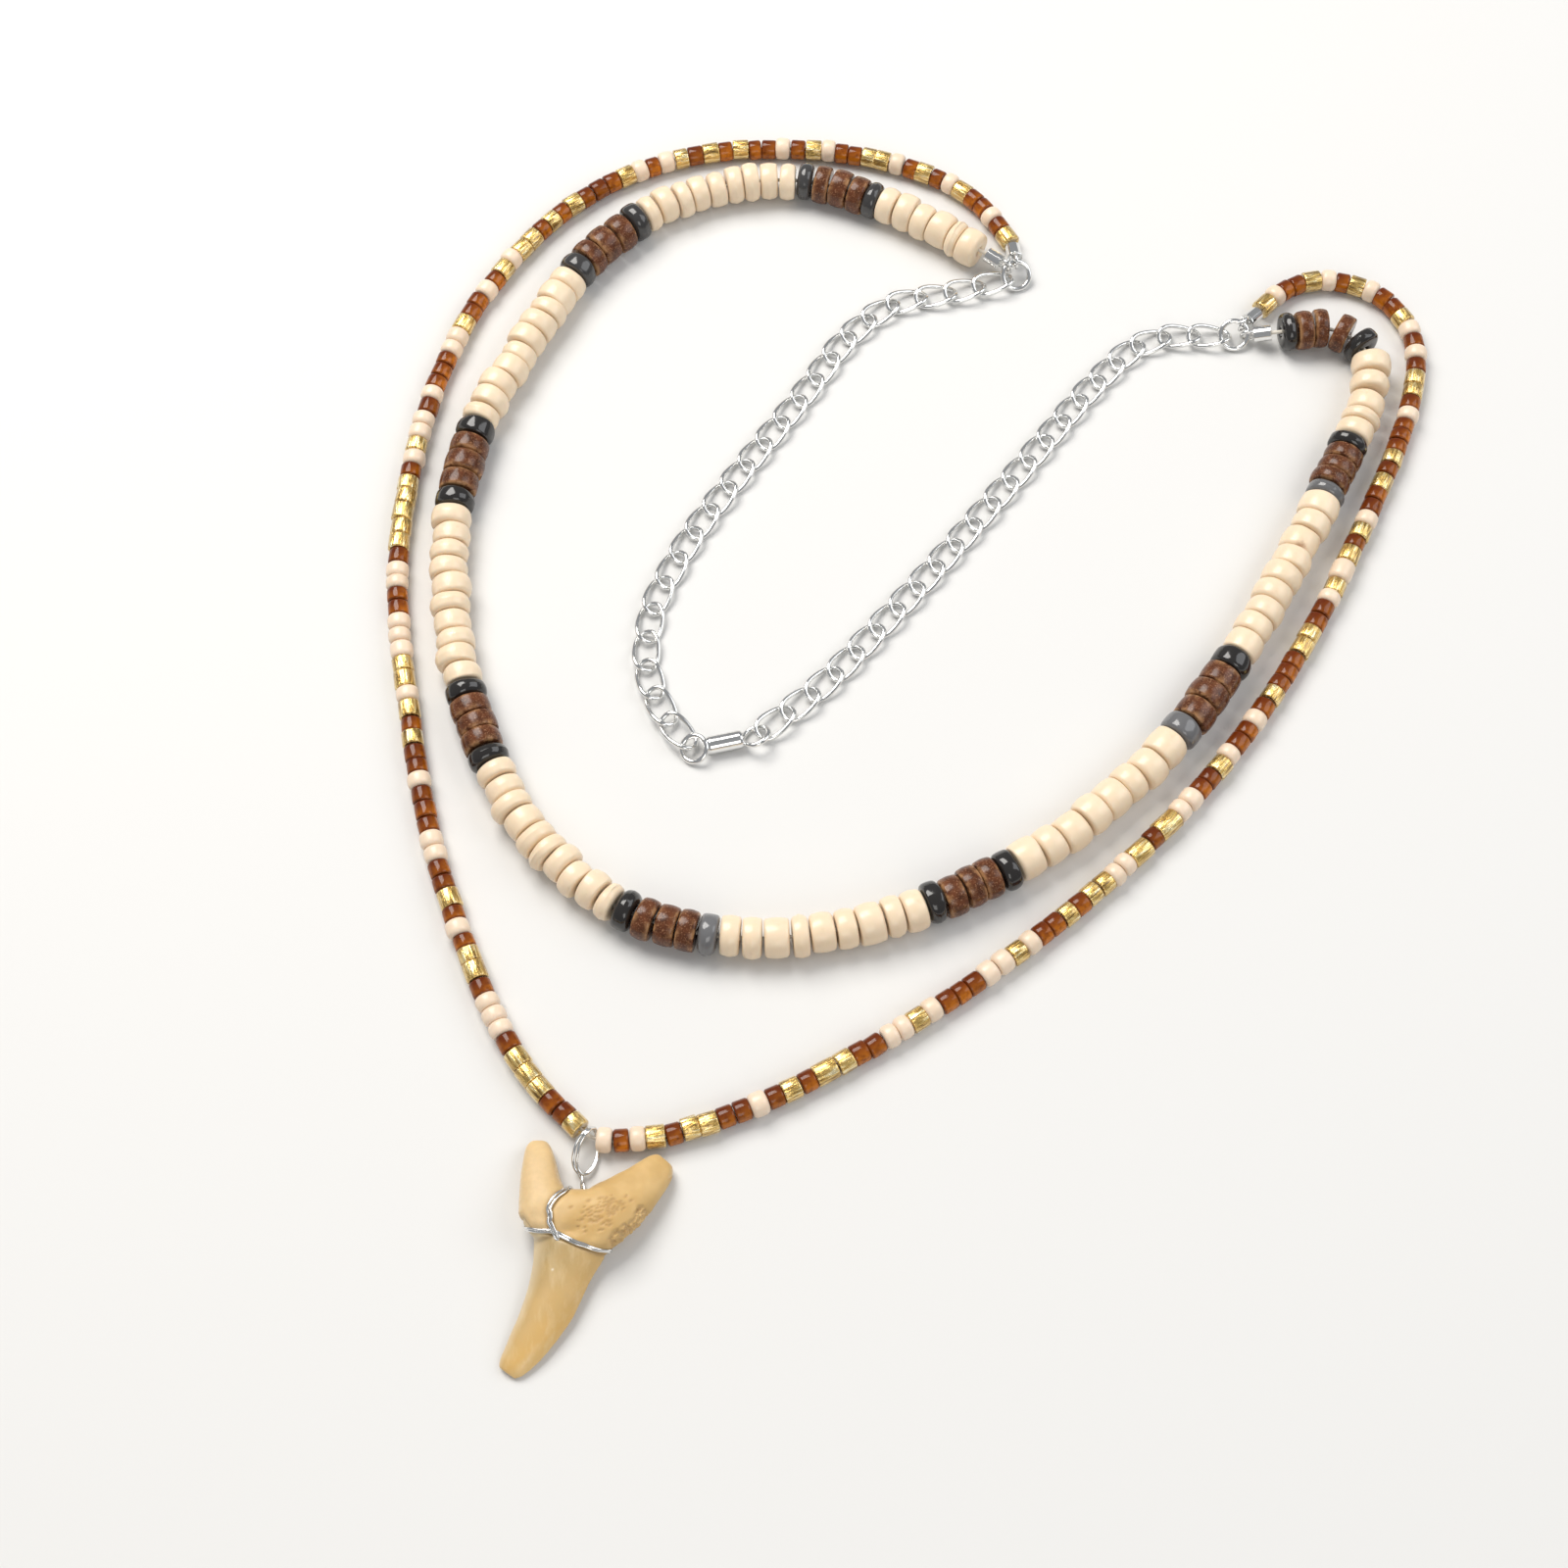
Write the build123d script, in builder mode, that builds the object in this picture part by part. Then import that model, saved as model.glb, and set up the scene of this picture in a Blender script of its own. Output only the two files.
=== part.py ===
from build123d import *
from math import atan2, cos, degrees, hypot, radians, sin, tan
from random import Random
import os

os.makedirs("parts", exist_ok=True)

# Lengths are in millimetres. The necklace lies on the plane z = 0, with X to its right.
clearance = 0.11

# Inner strand: thick discs on one thread
disc_diameter = 5.4
cream_thickness = 2.42
black_thickness = 2.24
coconut_thickness = 2.34
cream_edge = 0.75
black_edge = 1.0
coconut_edge = 0.55
disc_hole = 1.3
disc_size_spread = 0.03
disc_side_spread = 0.12
disc_turn_spread = 1.2
inner_thread_diameter = 0.5

# Outer strand: small glass beads, here as one round tube
seed_diameter = 3.0

# Chains and end rings
link_length = 6.3
link_width = 3.8
link_wire = 0.62
link_rise = 0.8
link_corner_share = 0.85
link_mean_pitch = 4.2
link_pitch_growth = 0.02
link_roll_spread = 2
end_ring_radius = 1.9
end_ring_wire = 0.7
end_ring_height = 1.55
end_ring_roll = 35
first_link_inset = 0.6
first_link_height = 1.25

# Tips that join a strand to its end ring
tip_loop_radius = 0.9
tip_loop_wire = 0.5
tip_diameter = 2.1
tip_length = 2.3
tip_wall = 0.6
tip_gap = 0.5

# Clasp: a plain barrel with an eye at each end
clasp_diameter = 2.4
clasp_edge = 0.6
eye_radius = 1.7
eye_wire = 0.7
eye_roll = 30
eye_link_reach = 0.4
eye_link_height = 1.1

# Tooth and its wire
neck_width = 10.8
crown_length = 17.5
crown_thickness = 3.7
crown_axis = -114.4
root_width = 17.4
root_rise = 11.4
root_thickness = 4.9
wrap_wire = 0.4
ring_wire = 0.5
stem_wire = 0.55

# Where the main things lie
left_ring_place = (32.5, 78.5)
right_ring_place = (62.2, 68.3)
left_eye_place = (-11.4, 4.4)
right_eye_place = (-3.6, 6.2)
neck_place = (-24.2, -58.6)

# Directions in which strands and chains leave their end rings, in degrees from +X
left_turns = {"inner": 144, "outer": 95, "chain": 200}
right_turns = {"inner": -4, "outer": 48, "chain": 177}

# Routes chosen by eye: x, y (and z where it isn't the strand's own height)
inner_route = [
    (18, 88.2), (2.5, 95.4), (-13.8, 92.3), (-26.4, 82.6), (-35, 67.3), (-42.2, 51.3), (-44.5, 33),
    (-41.8, 14.3), (-34.7, -4.6), (-21.2, -18.8), (-4, -23.1), (15, -19.4), (34, -9.9), (50.5, 5.5),
    (62, 23), (72.5, 42.5), (80, 58), (80.2, 65), (75.8, 68.8),
]
outer_left_route = [
    (28.5, 92), (16.5, 98.8), (1.5, 101.6), (-14.5, 100.2), (-29, 92.8), (-39.5, 80.3), (-46.5, 65.5),
    (-50.2, 47.5), (-51.2, 29), (-48, 9.5), (-44, -9.2), (-37, -28), (-30.3, -40.3),
]
outer_right_route = [
    (-17.3, -47.7), (-6, -44.4), (9.5, -36.6), (25.5, -26), (42, -12.6), (56.5, 3), (68, 20),
    (77, 37.5), (84, 52.5), (87, 62.5), (86.9, 69.8), (82.9, 75.6), (76.4, 78.1), (69.5, 76.5),
]
left_meeting = (-23.65, -46.25)
right_meeting = (-22.3, -47.2)
meeting_thread = 0.6
left_chain_route = [
    (23.5, 75.8, 0.95), (15.2, 74.5), (8.6, 68.5), (3.2, 59.6), (-4.8, 48), (-12.6, 36), (-17.3, 25.5),
    (-18, 17.6), (-16.9, 12.9, 0.85), (-14.8, 8.5, 1),
]
right_chain_route = [(50, 68.6), (42, 60.2), (30.4, 44.8), (18.2, 29.2), (5.2, 13.8)]

# Runs of cream discs from the left ring, each followed by a dark group. The shares stretch or squeeze
# the thickness of the run's discs.
disc_runs = [
    {"cream": 6, "cream_share": 1.0, "dark_share": 0.92},
    {"cream": 9, "cream_share": 0.9, "dark_share": 1.06},
    {"cream": 10, "cream_share": 0.99, "dark_share": 1.1},
    {"cream": 10, "cream_share": 0.97, "dark_share": 0.98},
    {"cream": 10, "cream_share": 0.92, "dark_share": 0.98},
    {"cream": 9, "cream_share": 1.03, "dark_share": 0.98},
    {"cream": 8, "cream_share": 1.31, "dark_share": 1.21},
    {"cream": 9, "cream_share": 1.17, "dark_share": 0.85},
    {"cream": 5, "cream_share": 1.0, "dark_share": 0.82},
]

# Tooth sections. Crown: shares of crown_length and neck_width from the neck, the section's turn in
# degrees, and its width, thickness and lift as shares of neck_width and crown_thickness.
crown_sections = [
    {"along": -0.06, "aside": 0.0, "turn": 16, "width": 1.02, "thick": 0.95, "lift": 0.22},
    {"along": 0.11, "aside": 0.05, "turn": 19, "width": 0.81, "thick": 0.95, "lift": 0.2},
    {"along": 0.30, "aside": 0.08, "turn": 17, "width": 0.65, "thick": 0.9, "lift": 0.1},
    {"along": 0.55, "aside": 0.11, "turn": 11, "width": 0.56, "thick": 0.8, "lift": 0.03},
    {"along": 0.79, "aside": 0.075, "turn": 2, "width": 0.445, "thick": 0.58, "lift": 0.015},
    {"along": 0.93, "aside": 0.03, "turn": -6, "width": 0.34, "thick": 0.38, "lift": 0.015},
    {"along": 0.99, "aside": 0.0, "turn": -10, "width": 0.23, "thick": 0.2, "lift": 0.03},
]
# Root lobes: x and y from the neck as shares of root_width and root_rise, the lobe's direction in
# degrees from +X, and its width, thickness and lift as shares of root_width and root_thickness.
left_lobe_sections = [
    {"x": -0.14, "y": 0.08, "heading": 100, "width": 0.35, "thick": 0.82, "lift": 0.18},
    {"x": -0.195, "y": 0.27, "heading": 106, "width": 0.33, "thick": 0.9, "lift": 0.13},
    {"x": -0.235, "y": 0.51, "heading": 102, "width": 0.265, "thick": 0.86, "lift": 0.025},
    {"x": -0.26, "y": 0.74, "heading": 97, "width": 0.225, "thick": 0.7, "lift": 0.012},
    {"x": -0.275, "y": 0.91, "heading": 93, "width": 0.185, "thick": 0.52, "lift": 0.012},
    {"x": -0.277, "y": 0.985, "heading": 91, "width": 0.12, "thick": 0.32, "lift": 0.05},
]
right_lobe_sections = [
    {"x": 0.09, "y": -0.02, "heading": 48, "width": 0.34, "thick": 0.8, "lift": 0.18},
    {"x": 0.2, "y": 0.15, "heading": 40, "width": 0.42, "thick": 0.92, "lift": 0.13},
    {"x": 0.33, "y": 0.32, "heading": 43, "width": 0.385, "thick": 0.9, "lift": 0.025},
    {"x": 0.45, "y": 0.51, "heading": 47, "width": 0.3, "thick": 0.74, "lift": 0.012},
    {"x": 0.55, "y": 0.69, "heading": 50, "width": 0.225, "thick": 0.54, "lift": 0.012},
    {"x": 0.592, "y": 0.78, "heading": 50, "width": 0.14, "thick": 0.34, "lift": 0.05},
]
# The root's middle, from left to right between the lobes, in the same shares
root_body_sections = [
    {"x": -0.25, "y": 0.19, "heading": -12, "width": 0.175, "thick": 0.66, "lift": 0.2},
    {"x": -0.15, "y": 0.202, "heading": -8, "width": 0.205, "thick": 0.74, "lift": 0.19},
    {"x": -0.05, "y": 0.2, "heading": -8, "width": 0.22, "thick": 0.76, "lift": 0.19},
    {"x": 0.06, "y": 0.172, "heading": -3, "width": 0.285, "thick": 0.81, "lift": 0.18},
    {"x": 0.17, "y": 0.16, "heading": 2, "width": 0.32, "thick": 0.83, "lift": 0.17},
    {"x": 0.27, "y": 0.15, "heading": 5, "width": 0.24, "thick": 0.66, "lift": 0.2},
]
# Wire round the tooth's neck, over the root's middle and beneath the root: x, y, z
neck_wire = [
    (-24.4, -59.25, 0.38), (-28.4, -58.8, 0.6), (-30, -58.75, 1.9), (-28.95, -58.65, 3.15),
    (-27.2, -58.65, 4.15), (-25.8, -58.8, 4.65), (-24.9, -59.5, 4.85), (-23.2, -60.1, 4.7),
    (-21.4, -60.9, 3.9), (-20.1, -61.4, 2.9), (-19.4, -61.3, 1.9), (-20.8, -60.6, 0.7), (-24.1, -59.2, 0.38),
]
over_wire = [
    (-26, -58.8, 4.6), (-26.4, -58.2, 5.4), (-27, -57, 5.6), (-26.7, -55.6, 5.5), (-25.9, -54.6, 5.2),
    (-25, -54, 4.4), (-24.6, -53.9, 2.4), (-24.7, -54.7, 0.6), (-25.2, -56.8, 0.42), (-24.3, -59.2, 0.38),
]
stem = [(-23.85, -51.5, 0.65), (-23.3, -52.9, 0.5), (-23.8, -55, 0.38), (-24.15, -59.1, 0.38)]
knots = [
    {"middle": (-23.88, -51.3, 0.72), "diameter": 0.95},
    {"middle": (-24.25, -59.2, 0.38), "diameter": 0.62},
    {"middle": (-26, -58.85, 4.62), "diameter": 0.56},
]
# The hanging ring's turn: distance towards the tooth, distance to the right, and height
hanging_place = (-22.95, -47.1)
hanging_heading = -102.5
hanging_turn = [
    (4.4, 0, 0.7), (3.3, -1.1, 1), (1.8, -1.2, 1.9), (0.2, -0.2, 2.8), (-1.4, 0, 1.75), (-0.65, 0, 0.4),
    (0.9, 0.2, 0.4), (2.1, 1.05, 0.5), (3.5, 0.8, 0.6), (4.3, 0.1, 0.8),
]

# Worked out from the sizes above
inner_height = disc_diameter / 2
outer_height = seed_diameter / 2
tip_reach = tip_loop_radius + tip_length + tip_gap
link_reach = (link_length - link_wire) / 2
eye_height = eye_radius * sin(radians(eye_roll)) + eye_wire / 2
disc_sizes = {
    "cream": {"thickness": cream_thickness, "edge": cream_edge},
    "black": {"thickness": black_thickness, "edge": black_edge},
    "coconut": {"thickness": coconut_thickness, "edge": coconut_edge},
}
dark_group = ("black", "coconut", "coconut", "coconut", "black")


def level(turn):
    """The level direction at so many degrees from +X."""
    return Vector(cos(radians(turn)), sin(radians(turn)), 0)


def approach(start, stop):
    """The direction in degrees from one place to another."""
    return degrees(atan2(stop[1] - start[1], stop[0] - start[0]))


def rolled_plane(middle, turn, roll):
    """A plane whose X is a level direction, turned about it so that its left side drops."""
    ahead = level(turn)
    left = level(turn + 90) * cos(radians(roll)) + Vector(0, 0, -sin(radians(roll)))
    return Plane(origin=middle, x_dir=ahead, z_dir=ahead.cross(left))


def corner_radii(points, closed=False):
    """Each corner's radius: 0.45 of its shorter run over the tangent of half the turn."""
    corners = [Vector(point) for point in points]
    first, last = (0, len(corners)) if closed else (1, len(corners) - 1)
    radii = []
    for index in range(first, last):
        before = corners[index] - corners[index - 1]
        after = corners[(index + 1) % len(corners)] - corners[index]
        turn = radians(before.get_angle(after))
        radii.append(0.45 * min(before.length, after.length) / tan(turn / 2))
    return radii


def rounded_route(points, closed=False):
    """Straight runs joined by tangent arcs."""
    with BuildLine() as route:
        FilletPolyline(*points, radius=corner_radii(points, closed), close=closed)
    return route.wire()


def round_tube(path, diameter):
    """A round bar along a path."""
    with BuildPart() as tube:
        with BuildSketch(Plane(origin=path @ 0, z_dir=path % 0)):
            Circle(diameter / 2)
        sweep(path=path)
    return tube.part


def at_height(route, height):
    """A route's points, with the strand's height where they give none."""
    return [point if len(point) == 3 else (*point, height) for point in route]


def end_ring_plane(place, turns):
    """An end ring's plane: X towards its chain, the strands' side raised."""
    return rolled_plane((*place, end_ring_height), turns["chain"], end_ring_roll)


def tip_ends(place, turns, kind, height):
    """Where a strand's tip holds the ring, and where the strand leaves the tip."""
    angle = radians(turns[kind] - turns["chain"])
    ring = end_ring_plane(place, turns)
    hold = ring.from_local_coords(Vector(end_ring_radius * cos(angle), end_ring_radius * sin(angle), 0))
    leave = Vector(hold.X, hold.Y, height) + level(turns[kind]) * tip_reach
    return hold, leave


def make_tip(place, turns, kind, height):
    """A strand's tip: a small drilled cup with a loop that holds the end ring."""
    hold, leave = tip_ends(place, turns, kind, height)
    outward = (leave - hold).normalized()
    cup_plane = Plane(origin=hold + outward * tip_loop_radius, x_dir=level(turns[kind] + 90), z_dir=outward)
    with BuildPart() as tip:
        with BuildSketch(cup_plane):
            Circle(tip_diameter / 2)
        extrude(amount=tip_length)
        with BuildSketch(cup_plane.offset(tip_wall)):
            Circle(inner_thread_diameter / 2 + clearance)
        extrude(amount=tip_length, mode=Mode.SUBTRACT)
        with Locations(cup_plane.location * Location((0, 0, -tip_loop_radius), (0, 90, 0))):
            Torus(tip_loop_radius, tip_loop_wire / 2)
    return tip.part


def heading_change(path, start, stop):
    """Radians between a path's directions at two distances."""
    first = path.tangent_at(start, position_mode=PositionMode.LENGTH)
    second = path.tangent_at(stop, position_mode=PositionMode.LENGTH)
    return radians(first.get_angle(second))


def disc_order():
    """The discs in stringing order, each with its kind and its thickness."""
    order = []
    for run in disc_runs:
        order += [("cream", cream_thickness * run["cream_share"])] * run["cream"]
        order += [(kind, disc_sizes[kind]["thickness"] * run["dark_share"]) for kind in dark_group]
    return order


def string_discs(path, start, stop):
    """Places the discs along the thread as close as their rims allow, and shares out what is left."""
    chance = Random(11)
    discs = []
    for kind, thickness in disc_order():
        spread = disc_size_spread * (1 if kind == "cream" else 0.4)
        discs.append({
            "kind": kind,
            "radius": disc_diameter / 2 * (1 + chance.uniform(-spread, spread)),
            "thickness": thickness * (1 + 3 * chance.uniform(-spread, spread)),
            "side": chance.uniform(-disc_side_spread, disc_side_spread),
            "turn": chance.uniform(-disc_turn_spread, disc_turn_spread),
        })

    def spread_out(extra):
        """Sets each disc's distance, and returns where the last disc ends."""
        reached = start
        for index, disc in enumerate(discs):
            gap = clearance + extra if index else 0
            if index:
                bend = heading_change(path, discs[index - 1]["at"], min(reached + disc["thickness"], stop))
                bend += radians(abs(disc["turn"] - discs[index - 1]["turn"]))
                gap += (disc["radius"] - 0.3 * disc_sizes[disc["kind"]]["edge"]) * bend
            disc["at"] = min(reached + gap + disc["thickness"] / 2, stop)
            reached = disc["at"] + disc["thickness"] / 2
        return reached

    while spread_out(0) > stop:
        discs.remove([disc for disc in discs if disc["kind"] == "cream"][0])
    slack = 0
    for _ in range(8):
        slack += (stop - spread_out(slack)) / len(discs)
    print("slack between discs", round(slack, 3))
    return discs


def make_disc(radius, thickness, edge):
    """A drilled disc with round edges."""
    with BuildPart() as disc:
        Cylinder(radius, thickness)
        fillet(disc.edges(), min(edge, 0.45 * thickness))
        Hole(disc_hole / 2)
    return disc.part


def place_disc(disc, path):
    """A disc on the thread, resting on the plane."""
    point = path.position_at(disc["at"], position_mode=PositionMode.LENGTH)
    ahead = path.tangent_at(disc["at"], position_mode=PositionMode.LENGTH)
    turn = degrees(atan2(ahead.Y, ahead.X)) + disc["turn"]
    middle = Vector(point.X, point.Y, disc["radius"]) + level(turn + 90) * disc["side"]
    solid = make_disc(disc["radius"], disc["thickness"], disc_sizes[disc["kind"]]["edge"])
    return Plane(origin=middle, x_dir=(0, 0, 1), z_dir=level(turn)).location * solid


def make_link():
    """A chain link: a long wire loop, twisted so that its neighbours pass through it."""
    half_length, half_width = link_reach, (link_width - link_wire) / 2
    corners = [(0, -half_width, 0), (half_length, -half_width, link_rise),
               (half_length, half_width, -link_rise), (0, half_width, 0)]
    with BuildLine() as half_loop:
        FilletPolyline(*corners, radius=link_corner_share * hypot(half_width, link_rise))
    half_link = round_tube(half_loop.wire(), link_wire)
    with BuildPart() as link:
        add(half_link)
        add(half_link.rotate(Axis.Z, 180))
    return link.part


def place_links(link, path, seed):
    """Links along a chain's path, a little closer together towards the strands' ends."""
    chance = Random(seed)
    gaps = round((path.length - 2 * link_reach) / link_mean_pitch)
    weights = [1 + link_pitch_growth * (2 * (index + 0.5) / gaps - 1) for index in range(gaps)]
    unit = (path.length - 2 * link_reach) / sum(weights)
    placed = []
    for index in range(gaps + 1):
        distance = link_reach + unit * sum(weights[:index])
        point = path.position_at(distance, position_mode=PositionMode.LENGTH)
        ahead = path.tangent_at(distance, position_mode=PositionMode.LENGTH)
        roll = chance.uniform(-link_roll_spread, link_roll_spread)
        middle = point + Vector(0, 0, abs(sin(radians(roll))) * link_width / 2)
        placed.append(rolled_plane(middle, degrees(atan2(ahead.Y, ahead.X)), roll).location * link)
    print("links", len(placed), "pitch", round(unit * weights[0], 2), round(unit * weights[-1], 2))
    return placed


def crown_section(row):
    """One crown section's plane: X across the crown, Y up, from the section's lowest point."""
    middle = Vector(*neck_place, row["lift"] * crown_thickness)
    middle += level(crown_axis) * row["along"] * crown_length
    middle += level(crown_axis + 90) * row["aside"] * neck_width
    ahead = level(crown_axis + row["turn"])
    return Plane(origin=middle, x_dir=level(crown_axis + row["turn"] + 90), z_dir=ahead)


def lobe_section(row):
    """One root section's plane, square to its lobe: X across the lobe, Y up."""
    height = (row["lift"] + row["thick"] / 2) * root_thickness
    middle = Vector(neck_place[0] + row["x"] * root_width, neck_place[1] + row["y"] * root_rise, height)
    return Plane(origin=middle, x_dir=level(row["heading"] - 90), z_dir=-level(row["heading"]))


# Inner strand
left_hold, left_leave = tip_ends(left_ring_place, left_turns, "inner", inner_height)
right_hold, right_leave = tip_ends(right_ring_place, right_turns, "inner", inner_height)
bore_end = tip_loop_radius + tip_wall + clearance
left_start = left_hold + (left_leave - left_hold).normalized() * bore_end
right_start = right_hold + (right_leave - right_hold).normalized() * bore_end
inner_points = [left_start, left_leave, *at_height(inner_route, inner_height), right_leave, right_start]
inner_path = rounded_route(inner_points)
bare_end = (left_leave - left_start).length + 0.8
discs = string_discs(inner_path, bare_end, inner_path.length - bare_end)
print("inner radii", [round(radius, 1) for radius in corner_radii(inner_points)])
print("inner length", round(inner_path.length, 1), "discs", len(discs))

with BuildPart() as inner_thread:
    add(round_tube(inner_path, inner_thread_diameter))
inner_thread.part.label = "inner_thread"
export_step(inner_thread.part, "parts/inner_thread.step")

with BuildPart() as cream_beads:
    add([place_disc(disc, inner_path) for disc in discs if disc["kind"] == "cream"])
cream_beads.part.label = "cream_beads"
export_step(cream_beads.part, "parts/cream_beads.step")

with BuildPart() as black_beads:
    add([place_disc(disc, inner_path) for disc in discs if disc["kind"] == "black"])
black_beads.part.label = "black_beads"
export_step(black_beads.part, "parts/black_beads.step")

with BuildPart() as coconut_beads:
    add([place_disc(disc, inner_path) for disc in discs if disc["kind"] == "coconut"])
coconut_beads.part.label = "coconut_beads"
export_step(coconut_beads.part, "parts/coconut_beads.step")

# Outer strand, in two lengths joined by a thread through the pendant's hanging ring
left_outer_start = tip_ends(left_ring_place, left_turns, "outer", outer_height)[1]
right_outer_start = tip_ends(right_ring_place, right_turns, "outer", outer_height)[1]
left_end = Vector(*left_meeting, outer_height)
right_end = Vector(*right_meeting, outer_height)
outer_left_points = [left_outer_start, *at_height(outer_left_route, outer_height), left_end]
outer_right_points = [right_end, *at_height(outer_right_route, outer_height), right_outer_start]
outer_left_path = rounded_route(outer_left_points)
outer_right_path = rounded_route(outer_right_points)
print("outer radii", [round(radius, 1) for radius in corner_radii(outer_left_points)],
      [round(radius, 1) for radius in corner_radii(outer_right_points)])
print("outer lengths", round(outer_left_path.length, 1), round(outer_right_path.length, 1))

across = (right_end - left_end).normalized()
with BuildLine() as joining_line:
    Line(left_end - across, right_end - across * clearance * 4)
with BuildPart() as seed_strand_left:
    add(round_tube(outer_left_path, seed_diameter))
    add(round_tube(joining_line.wire(), meeting_thread))
seed_strand_left.part.label = "seed_strand_left"
export_step(seed_strand_left.part, "parts/seed_strand_left.step")

with BuildPart() as seed_strand_right:
    add(round_tube(outer_right_path, seed_diameter))
seed_strand_right.part.label = "seed_strand_right"
export_step(seed_strand_right.part, "parts/seed_strand_right.step")

# End rings and tips
with BuildPart() as left_ring:
    with Locations(end_ring_plane(left_ring_place, left_turns).location):
        Torus(end_ring_radius, end_ring_wire / 2)
left_ring.part.label = "left_ring"
export_step(left_ring.part, "parts/left_ring.step")

with BuildPart() as right_ring:
    with Locations(end_ring_plane(right_ring_place, right_turns).location):
        Torus(end_ring_radius, end_ring_wire / 2)
right_ring.part.label = "right_ring"
export_step(right_ring.part, "parts/right_ring.step")

with BuildPart() as inner_left_tip:
    add(make_tip(left_ring_place, left_turns, "inner", inner_height))
inner_left_tip.part.label = "inner_left_tip"
export_step(inner_left_tip.part, "parts/inner_left_tip.step")

with BuildPart() as inner_right_tip:
    add(make_tip(right_ring_place, right_turns, "inner", inner_height))
inner_right_tip.part.label = "inner_right_tip"
export_step(inner_right_tip.part, "parts/inner_right_tip.step")

with BuildPart() as outer_left_tip:
    add(make_tip(left_ring_place, left_turns, "outer", outer_height))
outer_left_tip.part.label = "outer_left_tip"
export_step(outer_left_tip.part, "parts/outer_left_tip.step")

with BuildPart() as outer_right_tip:
    add(make_tip(right_ring_place, right_turns, "outer", outer_height))
outer_right_tip.part.label = "outer_right_tip"
export_step(outer_right_tip.part, "parts/outer_right_tip.step")

# Clasp
left_eye = Vector(*left_eye_place, eye_height)
right_eye = Vector(*right_eye_place, eye_height)
left_approach = approach(left_chain_route[-1], left_eye_place)
right_approach = approach(right_chain_route[-1], right_eye_place)
barrel_turn = approach(left_eye_place, right_eye_place)
barrel_length = (right_eye - left_eye).length - 2 * eye_radius + eye_wire / 2
with BuildPart() as clasp:
    with BuildSketch(Plane(origin=left_eye + level(barrel_turn) * (eye_radius - eye_wire / 4),
                           z_dir=level(barrel_turn))):
        Circle(clasp_diameter / 2)
    extrude(amount=barrel_length)
    fillet(clasp.edges(), clasp_edge)
    for eye, turn in ((left_eye, left_approach), (right_eye, right_approach)):
        with Locations(rolled_plane(eye, turn + 180, eye_roll).location):
            Torus(eye_radius, eye_wire / 2)
clasp.part.label = "clasp"
export_step(clasp.part, "parts/clasp.step")
print("clasp solids", len(clasp.part.solids()))

# Chains
link = make_link()
link_height = link.bounding_box().size.Z / 2
left_chain_start = level(left_turns["chain"]) * first_link_inset
left_chain_start += Vector(*left_ring_place, first_link_height)
right_chain_start = level(right_turns["chain"]) * first_link_inset
right_chain_start += Vector(*right_ring_place, first_link_height)
left_chain_end = Vector(*left_eye_place, eye_link_height) - level(left_approach) * eye_link_reach
right_chain_end = Vector(*right_eye_place, eye_link_height) - level(right_approach) * eye_link_reach
left_chain_path = rounded_route([left_chain_start, *at_height(left_chain_route, link_height), left_chain_end])
right_chain_path = rounded_route([right_chain_start, *at_height(right_chain_route, link_height),
                                  right_chain_end])
print("chain lengths", round(left_chain_path.length, 1), round(right_chain_path.length, 1),
      "link height", round(link_height, 3))

with BuildPart() as chain_left:
    add(place_links(link, left_chain_path, 4))
chain_left.part.label = "chain_left"
export_step(chain_left.part, "parts/chain_left.step")

with BuildPart() as chain_right:
    add(place_links(link, right_chain_path, 5))
chain_right.part.label = "chain_right"
export_step(chain_right.part, "parts/chain_right.step")

# Tooth
with BuildPart() as tooth:
    for row in crown_sections:
        half_width, thick = row["width"] * neck_width / 2, row["thick"] * crown_thickness
        with BuildSketch(crown_section(row)):
            with BuildLine():
                ThreePointArc((-half_width, 0.35 * thick), (0, thick), (half_width, 0.35 * thick))
                ThreePointArc((half_width, 0.35 * thick), (0, 0), (-half_width, 0.35 * thick))
            make_face()
    loft()
    for lobe in (left_lobe_sections, right_lobe_sections, root_body_sections):
        for row in lobe:
            width, thick = row["width"] * root_width, row["thick"] * root_thickness
            with BuildSketch(lobe_section(row)):
                RectangleRounded(width, thick, 0.46 * min(width, thick))
        loft()
tooth.part.label = "tooth"
export_step(tooth.part, "parts/tooth.step")
print("tooth solids", len(tooth.part.solids()), "volume", round(tooth.part.volume, 1))

# Tooth wire
heading = level(hanging_heading)
aside = level(hanging_heading + 90)
with BuildPart() as tooth_wire:
    for points in (neck_wire, over_wire):
        add(round_tube(rounded_route(points), wrap_wire))
    add(round_tube(rounded_route(stem), stem_wire))
    turn_points = [Vector(*hanging_place, height) + heading * ahead + aside * right
                   for ahead, right, height in hanging_turn]
    add(round_tube(rounded_route(turn_points), ring_wire))
    for knot in knots:
        # A quarter turn keeps the sphere's seam away from the wires' ends.
        with Locations(Location(knot["middle"], (0, 0, 90))):
            Sphere(knot["diameter"] / 2)
tooth_wire.part.label = "tooth_wire"
export_step(tooth_wire.part, "parts/tooth_wire.step")
print("tooth wire solids", len(tooth_wire.part.solids()), "volume", round(tooth_wire.part.volume, 2))
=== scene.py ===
import bpy
import numpy as np
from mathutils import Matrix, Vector
from mathutils.bvhtree import BVHTree


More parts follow.
